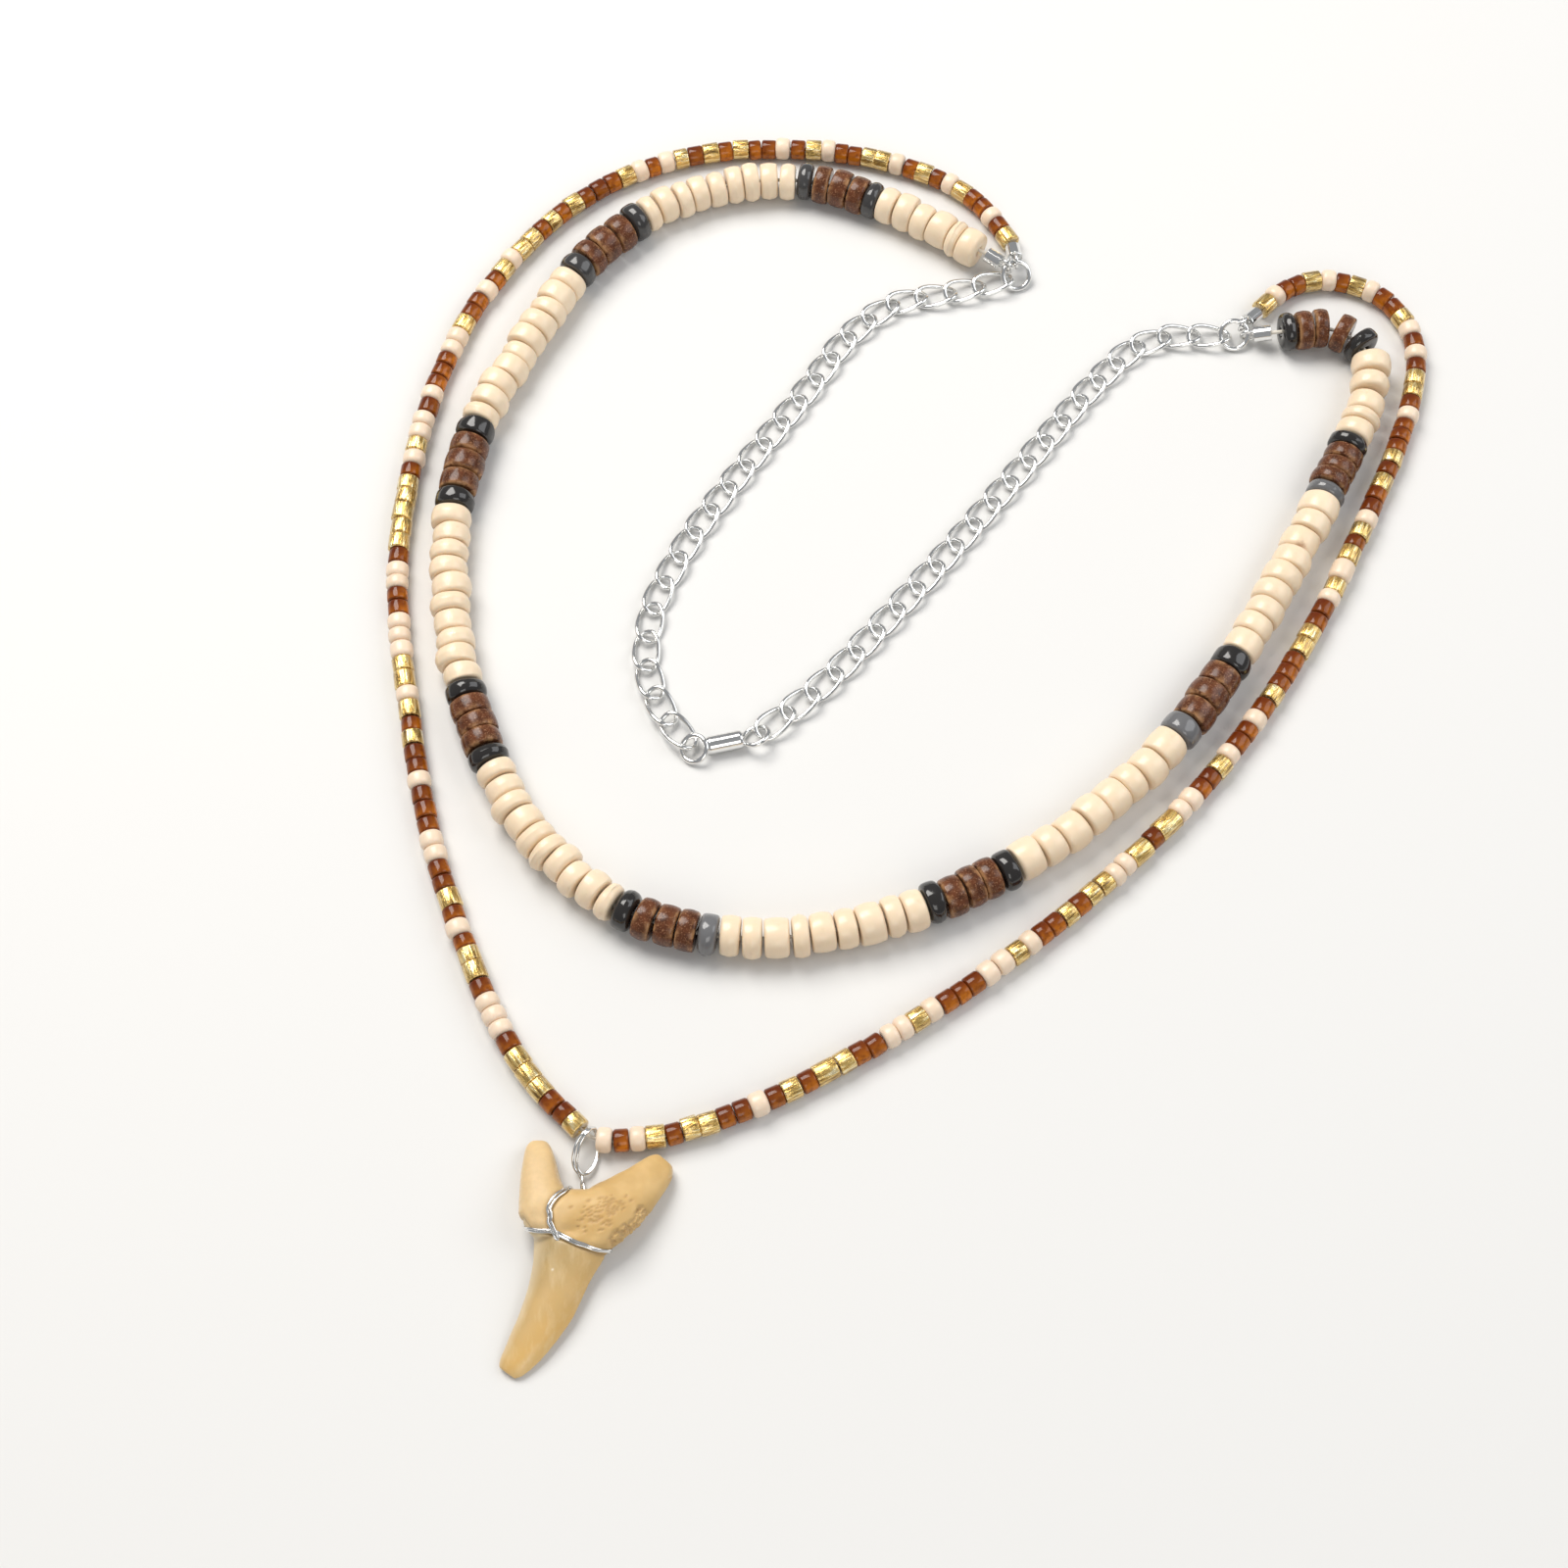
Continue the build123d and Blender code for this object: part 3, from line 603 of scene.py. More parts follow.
def coconut_material(colour):
    """Polished coconut shell: dark brown, crowded with short tan flecks, with paler worn rims."""
    look = Look("coconut", Roughness=0.2, Specular_IOR_Level=0.3)
    tan, worn = (0.42, 0.21, 0.11), (0.50, 0.27, 0.12)
    base = look.ramp(look.noise(750, 5, 0.65), [(0.34, shaded(colour, 0.45)), (0.66, colour)])
    base = look.mix(base, tan, look.fade(look.noise(5200, 3, 0.5), 0.56, 0.68), 0.6)
    patchy = look.fade(look.noise(800), 0.42, 0.6)
    base = look.mix(base, worn, look.times("rim", look.times(patchy, 0.85)))
    look.bumps(look.noise(3300), 0.12)
    return look.coloured(base)


def cream_glass_material(colour):
    """Opaque cream glass with a soft shine."""
    look = Look("cream_glass", Roughness=0.3, Subsurface_Weight=0.15,
                Subsurface_Radius=(0.001, 0.0006, 0.0004))
    sand = (0.78, 0.62, 0.46)
    look.bumps(look.noise(1800, 2), 0.06)
    return look.coloured(look.mix(colour, sand, "tone"))


def amber_glass_material(colour):
    """Dark amber glass with a painted glow: brighter orange on the side away from the lamp, where light would
    gather.
    """
    look = Look("amber_glass", Roughness=0.1, Specular_IOR_Level=0.3)
    painted_glow_colour, deep = (0.80, 0.25, 0.014), (0.085, 0.014, 0.004)
    # Painted glow: lighter orange on the side away from the main lamp, less towards each bead's ends, broken
    # up by noise
    painted_glow = look.times(look.fade("far", -1.0, 0.0), "inner")
    base = look.mix(colour, painted_glow_colour, look.times(painted_glow, look.fade(look.noise(1300), 0.2, 0.55)))
    return look.coloured(look.mix(base, deep, "tone", 0.5))


def gold_foil_material(colour):
    """Gold foil under clear glass, wrinkled along the bead: a clear coat over folded metal.

    The folds are noise round the bead's own circle, drawn out along its hole, and their colours are painted
    shade in the hollows, a darker gold as half shade, the foil's gold and a painted highlight on the ridges.
    """
    look = Look("gold_foil", Metallic=0.85, Roughness=0.26, Coat_Weight=1.0, Coat_Roughness=0.04)
    hollow_shade, shade, shine = (0.24, 0.13, 0.025), (0.60, 0.38, 0.10), (1.0, 0.90, 0.58)
    round_bead = look.node("CombineXYZ", ["round_x", "round_y", "drawn"]).outputs["Vector"]
    folds = look.noise(1.0, 3, 0.6, vector=round_bead)
    look.bumps(folds, 0.75, 0.00022)
    # Colours along the folds: painted shade, half shade, gold, painted highlight
    return look.coloured(look.ramp(folds, [(0.34, hollow_shade), (0.45, shade), (0.55, colour), (0.68, shine)]))


def silver_material(colour):
    """Bright silver with faint cloudy wear."""
    look = Look("silver", Metallic=1.0)
    look.put(look.shader.inputs["Roughness"], look.plus(look.times(look.noise(900), 0.12), 0.1))
    return look.coloured(look.mix(colour, shaded(colour, 0.86), look.noise(600)))


def thread_material(colour):
    """Fine twisted thread."""
    look = Look("thread", Roughness=0.8)
    look.bumps(look.noise(5000, 2), 0.4)
    return look.coloured(look.mix(colour, shaded(colour, 0.7), look.noise(2500, 2)))


def tooth_material(crown, root):
    """Fossil tooth: satin crown with long faint streaks and a painted sheen on its left edge, matt root with
    pores, pale edges that are partly wear and partly painted highlight, and painted shade on its right side,
    between the lobes, in the crease and in the wire's furrow.

    The names in the layers below are the piece's own point values.
    """
    look = Look("tooth", Subsurface_Weight=0.12, Subsurface_Radius=(0.0016, 0.0009, 0.0004),
                Specular_IOR_Level=0.4)
    ripe = look.plus(look.times("along", 0.75), look.times("aside", 0.35))
    ripe = look.plus(ripe, look.times(look.noise(260), 0.5))
    honey, ochre, straw = (0.58, 0.39, 0.165), (0.68, 0.43, 0.15), (0.74, 0.50, 0.21)
    smooth = look.ramp(look.fade(ripe, 0.2, 1.3),
                       [(0.0, shaded(crown, 0.82)), (0.35, honey), (0.7, ochre), (1.0, straw)])
    pale, streak = (0.80, 0.66, 0.44), (0.86, 0.72, 0.48)
    streaks = look.noise(900, 4, 0.6, stretch=(1.0, 0.28, 1.0))
    # pale: a painted sheen on the crown's left edge
    smooth = look.mix(smooth, pale, look.fade("aside", -0.55, -1.0), 0.6)
    smooth = look.mix(smooth, streak, look.fade(streaks, 0.5, 0.75), 0.25)
    rough = look.ramp(look.noise(1700, 5, 0.65), [(0.3, shaded(root, 0.92)), (0.7, root)])
    layers = (
        # right: painted shade, darker towards the root's right side, away from the main lamp
        ("right", 0.85, (0.56, 0.355, 0.125)),
        ("stain", 0.5, (0.52, 0.29, 0.07)),
        # valley: painted shade on the steep inner slopes between the lobes
        ("valley", 0.75, (0.38, 0.22, 0.08)),
        (look.fade(look.noise(330, 2), 0.45, 0.7), 0.4, (0.80, 0.56, 0.26)),
        # worn: pale edges, partly wear and partly painted highlight where the steep sides face the lamps
        # behind
        ("worn", 0.7, (0.86, 0.71, 0.50)),
        ("chip", 0.5, (0.62, 0.44, 0.24)),
        ("pore", 0.6, (0.36, 0.21, 0.08)),
    )
    for factor, share, colour in layers:
        rough = look.mix(rough, colour, factor, share)
    base = look.mix(smooth, rough, "root")
    # Painted shade in the crease between root and crown and in the wire's furrow, then a small pale speck
    groove_shade, white = (0.42, 0.27, 0.12), (0.95, 0.9, 0.8)
    base = look.mix(look.mix(base, groove_shade, "crease", 0.45), white, "speck")
    look.put(look.shader.inputs["Roughness"], look.plus(look.times("root", 0.2), 0.3))
    look.bumps(look.times(look.noise(2600, 4), "root"), 0.16)
    return look.coloured(base)


# Settings

def colour_setting(name, what, default):
    """A colour that a user can change."""
    return bpy.props.FloatVectorProperty(name=name, description=f"Colour of the {what}", subtype="COLOR",
                                         size=3, default=default, min=0, max=1)


def length_setting(name, description, default, least, most):
    """A length that a user can change, given here in millimetres and kept in metres."""
    return bpy.props.FloatProperty(name=name, description=description, subtype="DISTANCE", precision=5,
                                   default=default * MM, min=least * MM, max=most * MM)


class DiscSettings(bpy.types.PropertyGroup):
    """The thick discs of the inner strand."""
    cream: colour_setting("Cream", "cream discs", (0.87, 0.70, 0.50))
    black: colour_setting("Black", "black discs", (0.018, 0.016, 0.015))
    coconut: colour_setting("Coconut", "coconut discs", (0.14, 0.045, 0.018))
    hole: length_setting("Hole", "Diameter of the discs' holes", 1.3, 0.5, 2.5)


class SeedSettings(bpy.types.PropertyGroup):
    """The small beads of the outer strand, and the thread."""
    diameter: length_setting("Diameter", "Diameter of the widest beads", 3.06, 2, 4)
    cream: colour_setting("Cream", "cream glass", (0.84, 0.67, 0.51))
    amber: colour_setting("Amber", "amber glass", (0.13, 0.023, 0.003))
    gold: colour_setting("Gold", "gold foil", (0.82, 0.57, 0.18))
    thread: colour_setting("Thread", "thread of both strands", (0.82, 0.76, 0.66))


class MetalSettings(bpy.types.PropertyGroup):
    """Chains, rings, tips, clasp and wire."""
    colour: colour_setting("Colour", "metal", (0.73, 0.725, 0.71))
    link_wire: length_setting("Link wire", "Thickness of the links' wire", 0.62, 0.4, 0.8)


class ToothSettings(bpy.types.PropertyGroup):
    """The tooth and the wire round it."""
    crown: colour_setting("Crown", "smooth crown", (0.52, 0.37, 0.17))
    root: colour_setting("Root", "matt root", (0.70, 0.50, 0.26))
    wire: length_setting("Wire", "Thickness of the wire round the tooth", 0.32, 0.2, 0.5)


class StageSettings(bpy.types.PropertyGroup):
    """Camera and floor."""
    elevation: bpy.props.FloatProperty(name="Elevation", description="The camera's angle above the floor",
                                       subtype="ANGLE", default=np.radians(64), min=np.radians(5),
                                       max=np.radians(89))
    distance: length_setting("Distance", "The camera's distance from the origin", 310, 100, 900)
    lens: bpy.props.FloatProperty(name="Lens", description="The camera's focal length", unit="CAMERA",
                                  default=56.25, min=20, max=120)
    floor: colour_setting("Floor", "floor", (0.72, 0.715, 0.70))


# Inner strand

# Its route in millimetres, for the order of its discs
INNER_ROUTE = [
    (29, 82, 2.7), (18, 88.2, 2.7), (2.5, 95.4, 2.7), (-13.8, 92.3, 2.7), (-26.4, 82.6, 2.7),
    (-35, 67.3, 2.7), (-42.2, 51.3, 2.7), (-44.5, 33, 2.7), (-41.8, 14.3, 2.7), (-34.7, -4.6, 2.7),
    (-21.2, -18.8, 2.7), (-4, -23.1, 2.7), (15, -19.4, 2.7), (34, -9.9, 2.7), (50.5, 5.5, 2.7),
    (62, 23, 2.7), (72.5, 42.5, 2.7), (80, 58, 2.7), (80.2, 65, 2.7), (75.8, 68.8, 2.7), (68, 68, 2.7),
]
# A kind of disc: corner is the radius of its rim's corners in millimetres, crown and wave are the drop of the
# rim towards its corners and its unevenness, as shares of the disc's radius, and seed starts its random draws
DISC_KINDS = (
    {"node": "cream_beads", "name": "cream_discs", "slot": "shell", "colour": "cream",
     "material": shell_material, "corner": 0.52, "crown": 0.045, "wave": 0.012, "seed": 5},
    {"node": "black_beads", "name": "black_discs", "slot": "black_glass", "colour": "black",
     "material": black_material, "corner": 0.85, "crown": 0.01, "wave": 0.004, "seed": 7},
    {"node": "coconut_beads", "name": "coconut_discs", "slot": "coconut", "colour": "coconut",
     "material": coconut_material, "corner": 0.36, "crown": 0.032, "wave": 0.02, "seed": 9},
)
# How unevenly the discs are strung, in millimetres: what each face gains on the gap beside it, how far the
# joints between two cream or two coconut discs move and at most, and how far a cream disc lies aside
FACE_GAIN = 0.058
CREAM_SHIFT = 0.2
COCONUT_SHIFT = 0.12
MOST_SHIFT = 0.42
MOST_ASIDE = 0.22
# The smallest cream disc and the smallest other disc, as shares of the widest, and how aslant cream discs lie
LEAST_CREAM = 0.925
LEAST_OTHER = 0.97
SLANT = 0.02
# A disc's section: how much the radius of its corners varies, and its limit as a share of the half thickness,
# where the crown's shoulders lie and how far they drop, as shares of the corners' x and of the crown, where
# the hole's edge and lip lie, as shares of the half thickness and the hole, and how far the faces lean at
# most, in millimetres
CORNER_RIPPLE = 0.45
CORNER_LIMIT = 0.92
SHOULDER_PLACE = 0.45
SHOULDER_DROP = 0.22
HOLE_EDGE = 0.94
HOLE_LIP = 1.12
MOST_LEAN = 0.05
# The rim that looks worn starts at these shares of the radius and of the half thickness
WORN_RADIUS = 0.75
WORN_HALF = 0.55
# The cream disc with a brown flaw, counted from the left end, and the flaw's place and width in millimetres
FLAWED_DISC = 68
FLAW_PLACE = (-0.2, -1.6, 2.1)
FLAW_WIDTH = 0.75
# The black discs that look grey, counted from the left end
GREY_DISCS = {9: 0.85, 12: 0.8, 14: 0.75, 0: 0.15, 1: 0.2, 2: 0.12, 3: 0.15}


def strung_discs(path, chance):
    """The discs of all three nodes in order, each resting on the floor, with the cream ones made uneven.

    The joint between two cream discs moves along the thread by a random share, which makes one thicker and
    the other thinner, and each disc is a little smaller, aside or aslant.
    """
    found = [solids_of(kind["node"]) for kind in DISC_KINDS]
    nodes = np.repeat([kind["node"] for kind in DISC_KINDS], [len(solids[0]) for solids in found])
    middles, directions, sizes = (np.concatenate(column) for column in zip(*found))
    nearest = np.argmin(((middles[:, None, :] - path[None]) ** 2).sum(axis=2), axis=1)
    order = np.argsort(nearest, kind="stable")
    nodes, middles, ahead, sizes = nodes[order], middles[order], directions[order, 2], sizes[order]
    ahead = ahead * np.sign((ahead * np.gradient(middles, axis=0)).sum(axis=1))[:, None]
    half = sizes[:, 2] + FACE_GAIN * MM
    radius = sizes[:, :2].max(axis=1)
    cream, coconut = nodes == "cream_beads", nodes == "coconut_beads"
    count = len(nodes)
    shift = np.zeros(count + 1)
    shift[1:-1] = chance.normal(0, CREAM_SHIFT, count - 1) * MM * (cream[:-1] & cream[1:])
    shift[1:-1] += chance.normal(0, COCONUT_SHIFT, count - 1) * MM * (coconut[:-1] & coconut[1:])
    shift = np.clip(shift, -MOST_SHIFT * MM, MOST_SHIFT * MM)
    middles = middles + ahead * (shift[1:] + shift[:-1])[:, None] / 2
    half = half + (shift[1:] - shift[:-1]) / 2
    radius = radius * np.where(cream, chance.uniform(LEAST_CREAM, 1, count),
                               chance.uniform(LEAST_OTHER, 1, count))
    side = np.cross(UP, ahead)
    middles = middles + side * chance.uniform(-MOST_ASIDE, MOST_ASIDE, (count, 1)) * MM * cream[:, None]
    middles[:, 2] = radius
    ahead = unit(ahead + side * chance.normal(0, SLANT, (count, 1)) * cream[:, None])
    return {"node": nodes, "middle": middles, "ahead": ahead, "radius": radius, "half": half}


def disc_shapes(discs, kind, hole, chance, around=36, corner=6):
    """Drilled discs with soft, uneven rims, and how near each of their points is to a rim's corner.

    The section runs from the hole up one face, round a corner, across the crowned rim, round the other
    corner and back. At a corner x = half - edge + edge * cos and r = low rim - edge + edge * sin, where the
    low rim is the waving rim less the crown. Both faces lean a little the same way.
    """
    count = len(discs["middle"])
    angles = circle(around)
    radius, half = discs["radius"][:, None, None], discs["half"][:, None, None]
    edge = kind["corner"] * MM * (1 + ripple(angles, chance, count, size=CORNER_RIPPLE))
    edge = np.minimum(edge, CORNER_LIMIT * half[:, :, 0])[:, None, :]
    wave = np.abs(ripple(angles, chance, count, orders=(2, 3, 5), size=kind["wave"]))[:, None, :]
    rim = radius * (1 - wave)
    turn = np.linspace(0, np.pi / 2, corner)[None, :, None]
    corner_x = half - edge + edge * np.cos(turn)
    corner_r = rim * (1 - kind["crown"]) - edge + edge * np.sin(turn)
    shoulder_x, shoulder_r = SHOULDER_PLACE * corner_x[:, -1:], rim * (1 - SHOULDER_DROP * kind["crown"])
    hole = np.full((count, 1, around), hole / 2)
    flat = np.broadcast_to(half, hole.shape)
    face = (corner_r[:, :1] + hole) / 2
    side_x = np.concatenate([HOLE_EDGE * flat, flat, flat, corner_x, shoulder_x], axis=1)
    side_r = np.concatenate([hole, HOLE_LIP * hole, face, corner_r, shoulder_r], axis=1)
    section_x = np.concatenate([side_x, np.zeros_like(rim), -side_x[:, ::-1]], axis=1)
    section_r = np.minimum(np.concatenate([side_r, rim, side_r[:, ::-1]], axis=1), radius)
    lean = chance.uniform(0, MOST_LEAN, (count, 1, 1)) * MM
    lean = lean * np.cos(angles + chance.uniform(0, 6.3, (count, 1)))[:, None, :]
    most = np.abs(lean).max(axis=2, keepdims=True)
    section_x = section_x + lean * section_r / radius - most * np.sign(section_x)
    points = turned_shapes(section_x, section_r, discs["middle"], discs["ahead"], angles)
    corners = np.abs(section_x) / half * (section_r > WORN_RADIUS * radius)
    corners = np.clip((corners - WORN_HALF) / (1 - WORN_HALF), 0, 1)
    return points, grid_faces(section_x.shape[1], around, close_rows=True), corners.reshape(count, -1)


def disc_values(node, middles, points, corners, chance):
    """The point values that the discs' material reads: rims, or each disc's own tone, and the flaw."""
    if node == "coconut_beads":
        return {"rim": corners}
    if node == "black_beads":
        tone = np.array([GREY_DISCS.get(index, 0.0) for index in range(len(points))])
        return {"tone": np.repeat(tone, points.shape[1])}
    tone = chance.uniform(0, 1, len(points)) ** 2
    flaw = np.zeros(points.shape[:2])
    offset = points[FLAWED_DISC] - (middles[FLAWED_DISC] + np.array(FLAW_PLACE) * MM)
    flaw[FLAWED_DISC] = hump(np.linalg.norm(offset * [1, 1, 1.4], axis=1), FLAW_WIDTH * MM)
    return {"tone": np.repeat(tone, points.shape[1]), "flaw": flaw}


class NECKLACE_OT_discs(bpy.types.Operator):
    """Makes the inner strand's drilled discs where the plain ones lie"""
    bl_idname = "necklace.discs"
    bl_label = "Thick discs"

    def execute(self, context):
        settings = context.scene.necklace_discs
        strung = strung_discs(smooth_path(INNER_ROUTE), np.random.default_rng(3))
        for kind in DISC_KINDS:
            node = kind["node"]
            chance = np.random.default_rng(kind["seed"])
            discs = {key: value[strung["node"] == node] for key, value in strung.items()}
            points, faces, corners = disc_shapes(discs, kind, settings.hole, chance)
            values = disc_values(node, discs["middle"], points, corners, chance)
            material = kind["material"](getattr(settings, kind["colour"]))
            piece = make_piece(kind["name"], *repeated(points, faces), material, kind["slot"], values)
            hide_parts(node)
        return {"FINISHED"}


# Outer strand

# The small beads: length and radius of the corners in millimetres, and width as a share of the widest
SEED_KINDS = {
    "c": {"name": "cream_seeds", "length": 1.9, "wide": 1.0, "corner": 0.62},
    "b": {"name": "amber_seeds", "length": 1.85, "wide": 0.9, "corner": 0.3},
    "g": {"name": "gold_seeds", "length": 2.05, "wide": 0.94, "corner": 0.22},
    "G": {"name": "gold_seeds", "length": 3.0, "wide": 0.94, "corner": 0.22},
    "C": {"name": "cream_seeds", "length": 2.9, "wide": 1.02, "corner": 0.62},
}
# In millimetres: the room at both ends of a strand, half the gap between beads, the holes' radius and the
# thread's radius
END_ROOM = 0.3
HALF_GAP = 0.02
SEED_HOLE = 0.45
THREAD_RADIUS = 0.22
# How the beads vary: least and most share of their length and radius, then how far they lie aslant, and how
# far aside in millimetres
LENGTH_SPREAD = (0.9, 1.12)
RADIUS_SPREAD = (0.96, 1.0)
SEED_SLANT = 0.04
SEED_ASIDE = 0.05
# The direction towards the main lamp, for the painted glow in the glass beads
LAMP_DIRECTION = np.array([-0.33, 0.46, 0.82])
# The folds of the foil: how many lie round a bead, how few along it for each millimetre, and how far apart
# two beads' patterns are
FOLDS_ROUND = 4.2
FOLDS_ALONG = 0.45
FOLDS_APART = 7.3


def strung_seeds(diameter, chance):
    """The beads of each piece: place, direction and radius in metres, length and corner in millimetres.

    The lengths vary by chance, and together they fill the route. Beads lie a little aside and aslant.
    """
    strung = {kind["name"]: [] for kind in SEED_KINDS.values()}
    for route, order in ((LEFT_ROUTE, LEFT_ORDER), (RIGHT_ROUTE, RIGHT_ORDER)):
        path = smooth_path([(*place, OUTER_HEIGHT) for place in route])
        kinds = [SEED_KINDS[letter] for letter in order]
        lengths = np.array([kind["length"] for kind in kinds]) * chance.uniform(*LENGTH_SPREAD, len(order))
        lengths *= (path_lengths(path)[-1] / MM - 2 * END_ROOM) / lengths.sum()
        places, ahead = at_distances(path, (np.cumsum(lengths) + END_ROOM - lengths / 2) * MM)
        for kind, length, place, direction in zip(kinds, lengths, places, ahead):
            radius = diameter / 2 * kind["wide"] * chance.uniform(*RADIUS_SPREAD)
            tilt = unit(direction + np.array([*chance.normal(0, SEED_SLANT, 2), 0]))
            place = place + np.array([*chance.normal(0, SEED_ASIDE * MM, 2), 0])
            place[2] = radius
            strung[kind["name"]].append((place, tilt, radius, length, kind["corner"]))
    return strung


def seed_shapes(middles, ahead, radius, half, corner, chance, around=18, steps=4):
    """Small drilled beads with rounded corners, with their sections' x and the angles round them.

    The section runs from the hole up one face, round a corner with x = half - bend + bend * cos and
    r = radius - 0.9 * bend + 0.9 * bend * sin, and back down the other face.
    """
    angles = circle(around)
    turn = np.linspace(0, np.pi / 2, steps)
    bend = np.minimum(corner, half)
    side_x = np.concatenate([half, half - bend + bend * np.cos(turn)], axis=1)
    corner_r = radius - 0.9 * bend + 0.9 * bend * np.sin(turn)
    side_r = np.concatenate([np.full_like(half, SEED_HOLE * MM), corner_r], axis=1)
    section_x = np.concatenate([side_x, -side_x[:, ::-1]], axis=1)[:, :, None]
    section_x = np.broadcast_to(section_x, (*section_x.shape[:2], around))
    section_r = np.concatenate([side_r, side_r[:, ::-1]], axis=1)[:, :, None]
    section_r = section_r * (1 + ripple(angles, chance, len(middles), size=0.008)[:, None, :])
    return turned_shapes(section_x, section_r, middles, ahead, angles), section_x, angles


class NECKLACE_OT_seeds(bpy.types.Operator):
    """Strings the small glass beads of the outer strand"""
    bl_idname = "necklace.seeds"
    bl_label = "Small beads"

    def execute(self, context):
        settings = context.scene.necklace_seeds
        materials = {
            "cream_seeds": cream_glass_material(settings.cream),
            "amber_seeds": amber_glass_material(settings.amber),
            "gold_seeds": gold_foil_material(settings.gold),
        }
        chance = np.random.default_rng(23)
        for name, beads in strung_seeds(settings.diameter, chance).items():
            middles, ahead, *sizes = (np.array(column) for column in zip(*beads))
            radius, length, corner = (size[:, None] for size in sizes)
            half = (length / 2 - HALF_GAP) * MM
            points, section_x, angles = seed_shapes(middles, ahead, radius, half, corner * MM, chance)
            values = {"tone": np.repeat(chance.uniform(0, 1, len(beads)) ** 2, points.shape[1])}
            if name == "amber_seeds":
                # Masks for the painted glow: the side away from the main lamp, and the middle of each bead
                values["far"] = -((points - middles[:, None]) / radius[:, None]) @ LAMP_DIRECTION
                half = half[:, None]
                values["inner"] = 1 - 0.8 * step_up(np.abs(section_x), 0.45 * half, 0.95 * half)
            if name == "gold_seeds":
                apart = FOLDS_APART * np.arange(len(beads))[:, None, None]
                values = {
                    "round_x": np.broadcast_to(FOLDS_ROUND * np.cos(angles), section_x.shape),
                    "round_y": np.broadcast_to(FOLDS_ROUND * np.sin(angles), section_x.shape),
                    "drawn": FOLDS_ALONG * section_x / MM + apart,
                }
            points, faces = repeated(points, grid_faces(*section_x.shape[1:], close_rows=True))
            piece = make_piece(name, points, faces, materials[name], "seed_glass", values)
            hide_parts("seed_strand_left", "seed_strand_right")
        path = smooth_path([(*place, OUTER_HEIGHT) for place in LEFT_ROUTE + RIGHT_ROUTE])
        shape = round_bar(path, THREAD_RADIUS * MM, UP, around=6)
        piece = make_piece("outer_thread", *shape, thread_material(settings.thread), "thread")
        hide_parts("seed_strand_left", "seed_strand_right")
        return {"FINISHED"}


# Chains

# A link's outer length and width and its twist in millimetres, and how squarely its loop turns
LINK_LENGTH = 6.3
LINK_WIDTH = 3.8
LINK_TWIST = 0.8
LINK_POWER = 0.88


def silver(context):
    """The necklace's silver, made when it is first asked for."""
    return bpy.data.materials.get("silver") or silver_material(context.scene.necklace_metal.colour)


def link_shape(wire, around=12, steps=56):
    """A bar round a twisted loop, with x = half length * cos^power and y = half width * sin^power.

    z = -twist * x * y, with x and y there as shares of the half length and half width.
    """
    turn = circle(steps)
    half_length, half_width = (LINK_LENGTH * MM - wire) / 2, (LINK_WIDTH * MM - wire) / 2
    x = half_length * squared(np.cos(turn), LINK_POWER)
    y = half_width * squared(np.sin(turn), LINK_POWER)
    z = -LINK_TWIST * MM * (x / half_length) * (y / half_width)
    return round_bar(np.stack([x, y, z], axis=1), wire / 2, UP, around, close=True)


class NECKLACE_OT_chains(bpy.types.Operator):
    """Makes the chains' links where the plain ones lie"""
    bl_idname = "necklace.chains"
    bl_label = "Chains"

    def execute(self, context):
        points, faces = link_shape(context.scene.necklace_metal.link_wire)
        for node, name in (("chain_left", "left_links"), ("chain_right", "right_links")):
            middles, directions, _ = solids_of(node)
            ahead, side = directions[:, 0], directions[:, 1]
            frames = np.stack([ahead, side, np.cross(ahead, side)], axis=1)
            placed = middles[:, None, :] + np.einsum("pi,kij->kpj", points, frames)
            piece = make_piece(name, *repeated(placed, faces), silver(context), "silver")
            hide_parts(node)
        return {"FINISHED"}


# Tooth

# Wear and painted shade in millimetres: half the border between root and crown, the places over it and the
# widths of the crease and the raised lip, the widths of the furrow and of the painted shade in the valley
# between the lobes, where the chipped shoulder ends, and how far each thing sinks or rises
HALF_BORDER = 0.12
CREASE_PLACE = -0.05
CREASE_WIDTH = 0.2
LIP_PLACE = 0.75
LIP_WIDTH = 0.5
FURROW_WIDTH = 0.45
VALLEY_SHADE_WIDTH = 1.0
CHIP_FROM, CHIP_TO = 0.35, 1.1
CREASE_DEPTH = 0.16
FURROW_DEPTH = 0.34
PORE_DEPTH = 0.12
CHIP_DEPTH = 0.1
BROKEN_DEPTH = 0.42
LIP_RISE = 0.12
ROOT_SWELL = 0.06
FINE_SWELL = 0.005
CROWN_SWELL = 0.03
# The wires that lie on the tooth in two strands: route, steps, how high and how far aside a strand lies as
# shares of its radius, and a level direction that its run is square to, more or less
LAID_WIRES = (
    (NECK_WIRE, 170, 0.8, 0.95, CROWN_AXIS),
    (OVER_WIRE, 150, 2.2, 1.25, np.radians(-17)),
)
# A small pale speck on the crown, x and y, and its width
SPECK_PLACE = (-26.35, -63.3)
SPECK_WIDTH = 0.12
# Where the root turns darker with painted shade, away from the main lamp, from x to x
PAINTED_SHADE_FROM, PAINTED_SHADE_TO = -28.3, -23.6
# The skin: the remesh's cells in millimetres and the rounds of smoothing
SKIN_CELL = 0.12
SKIN_ROUNDS = 24


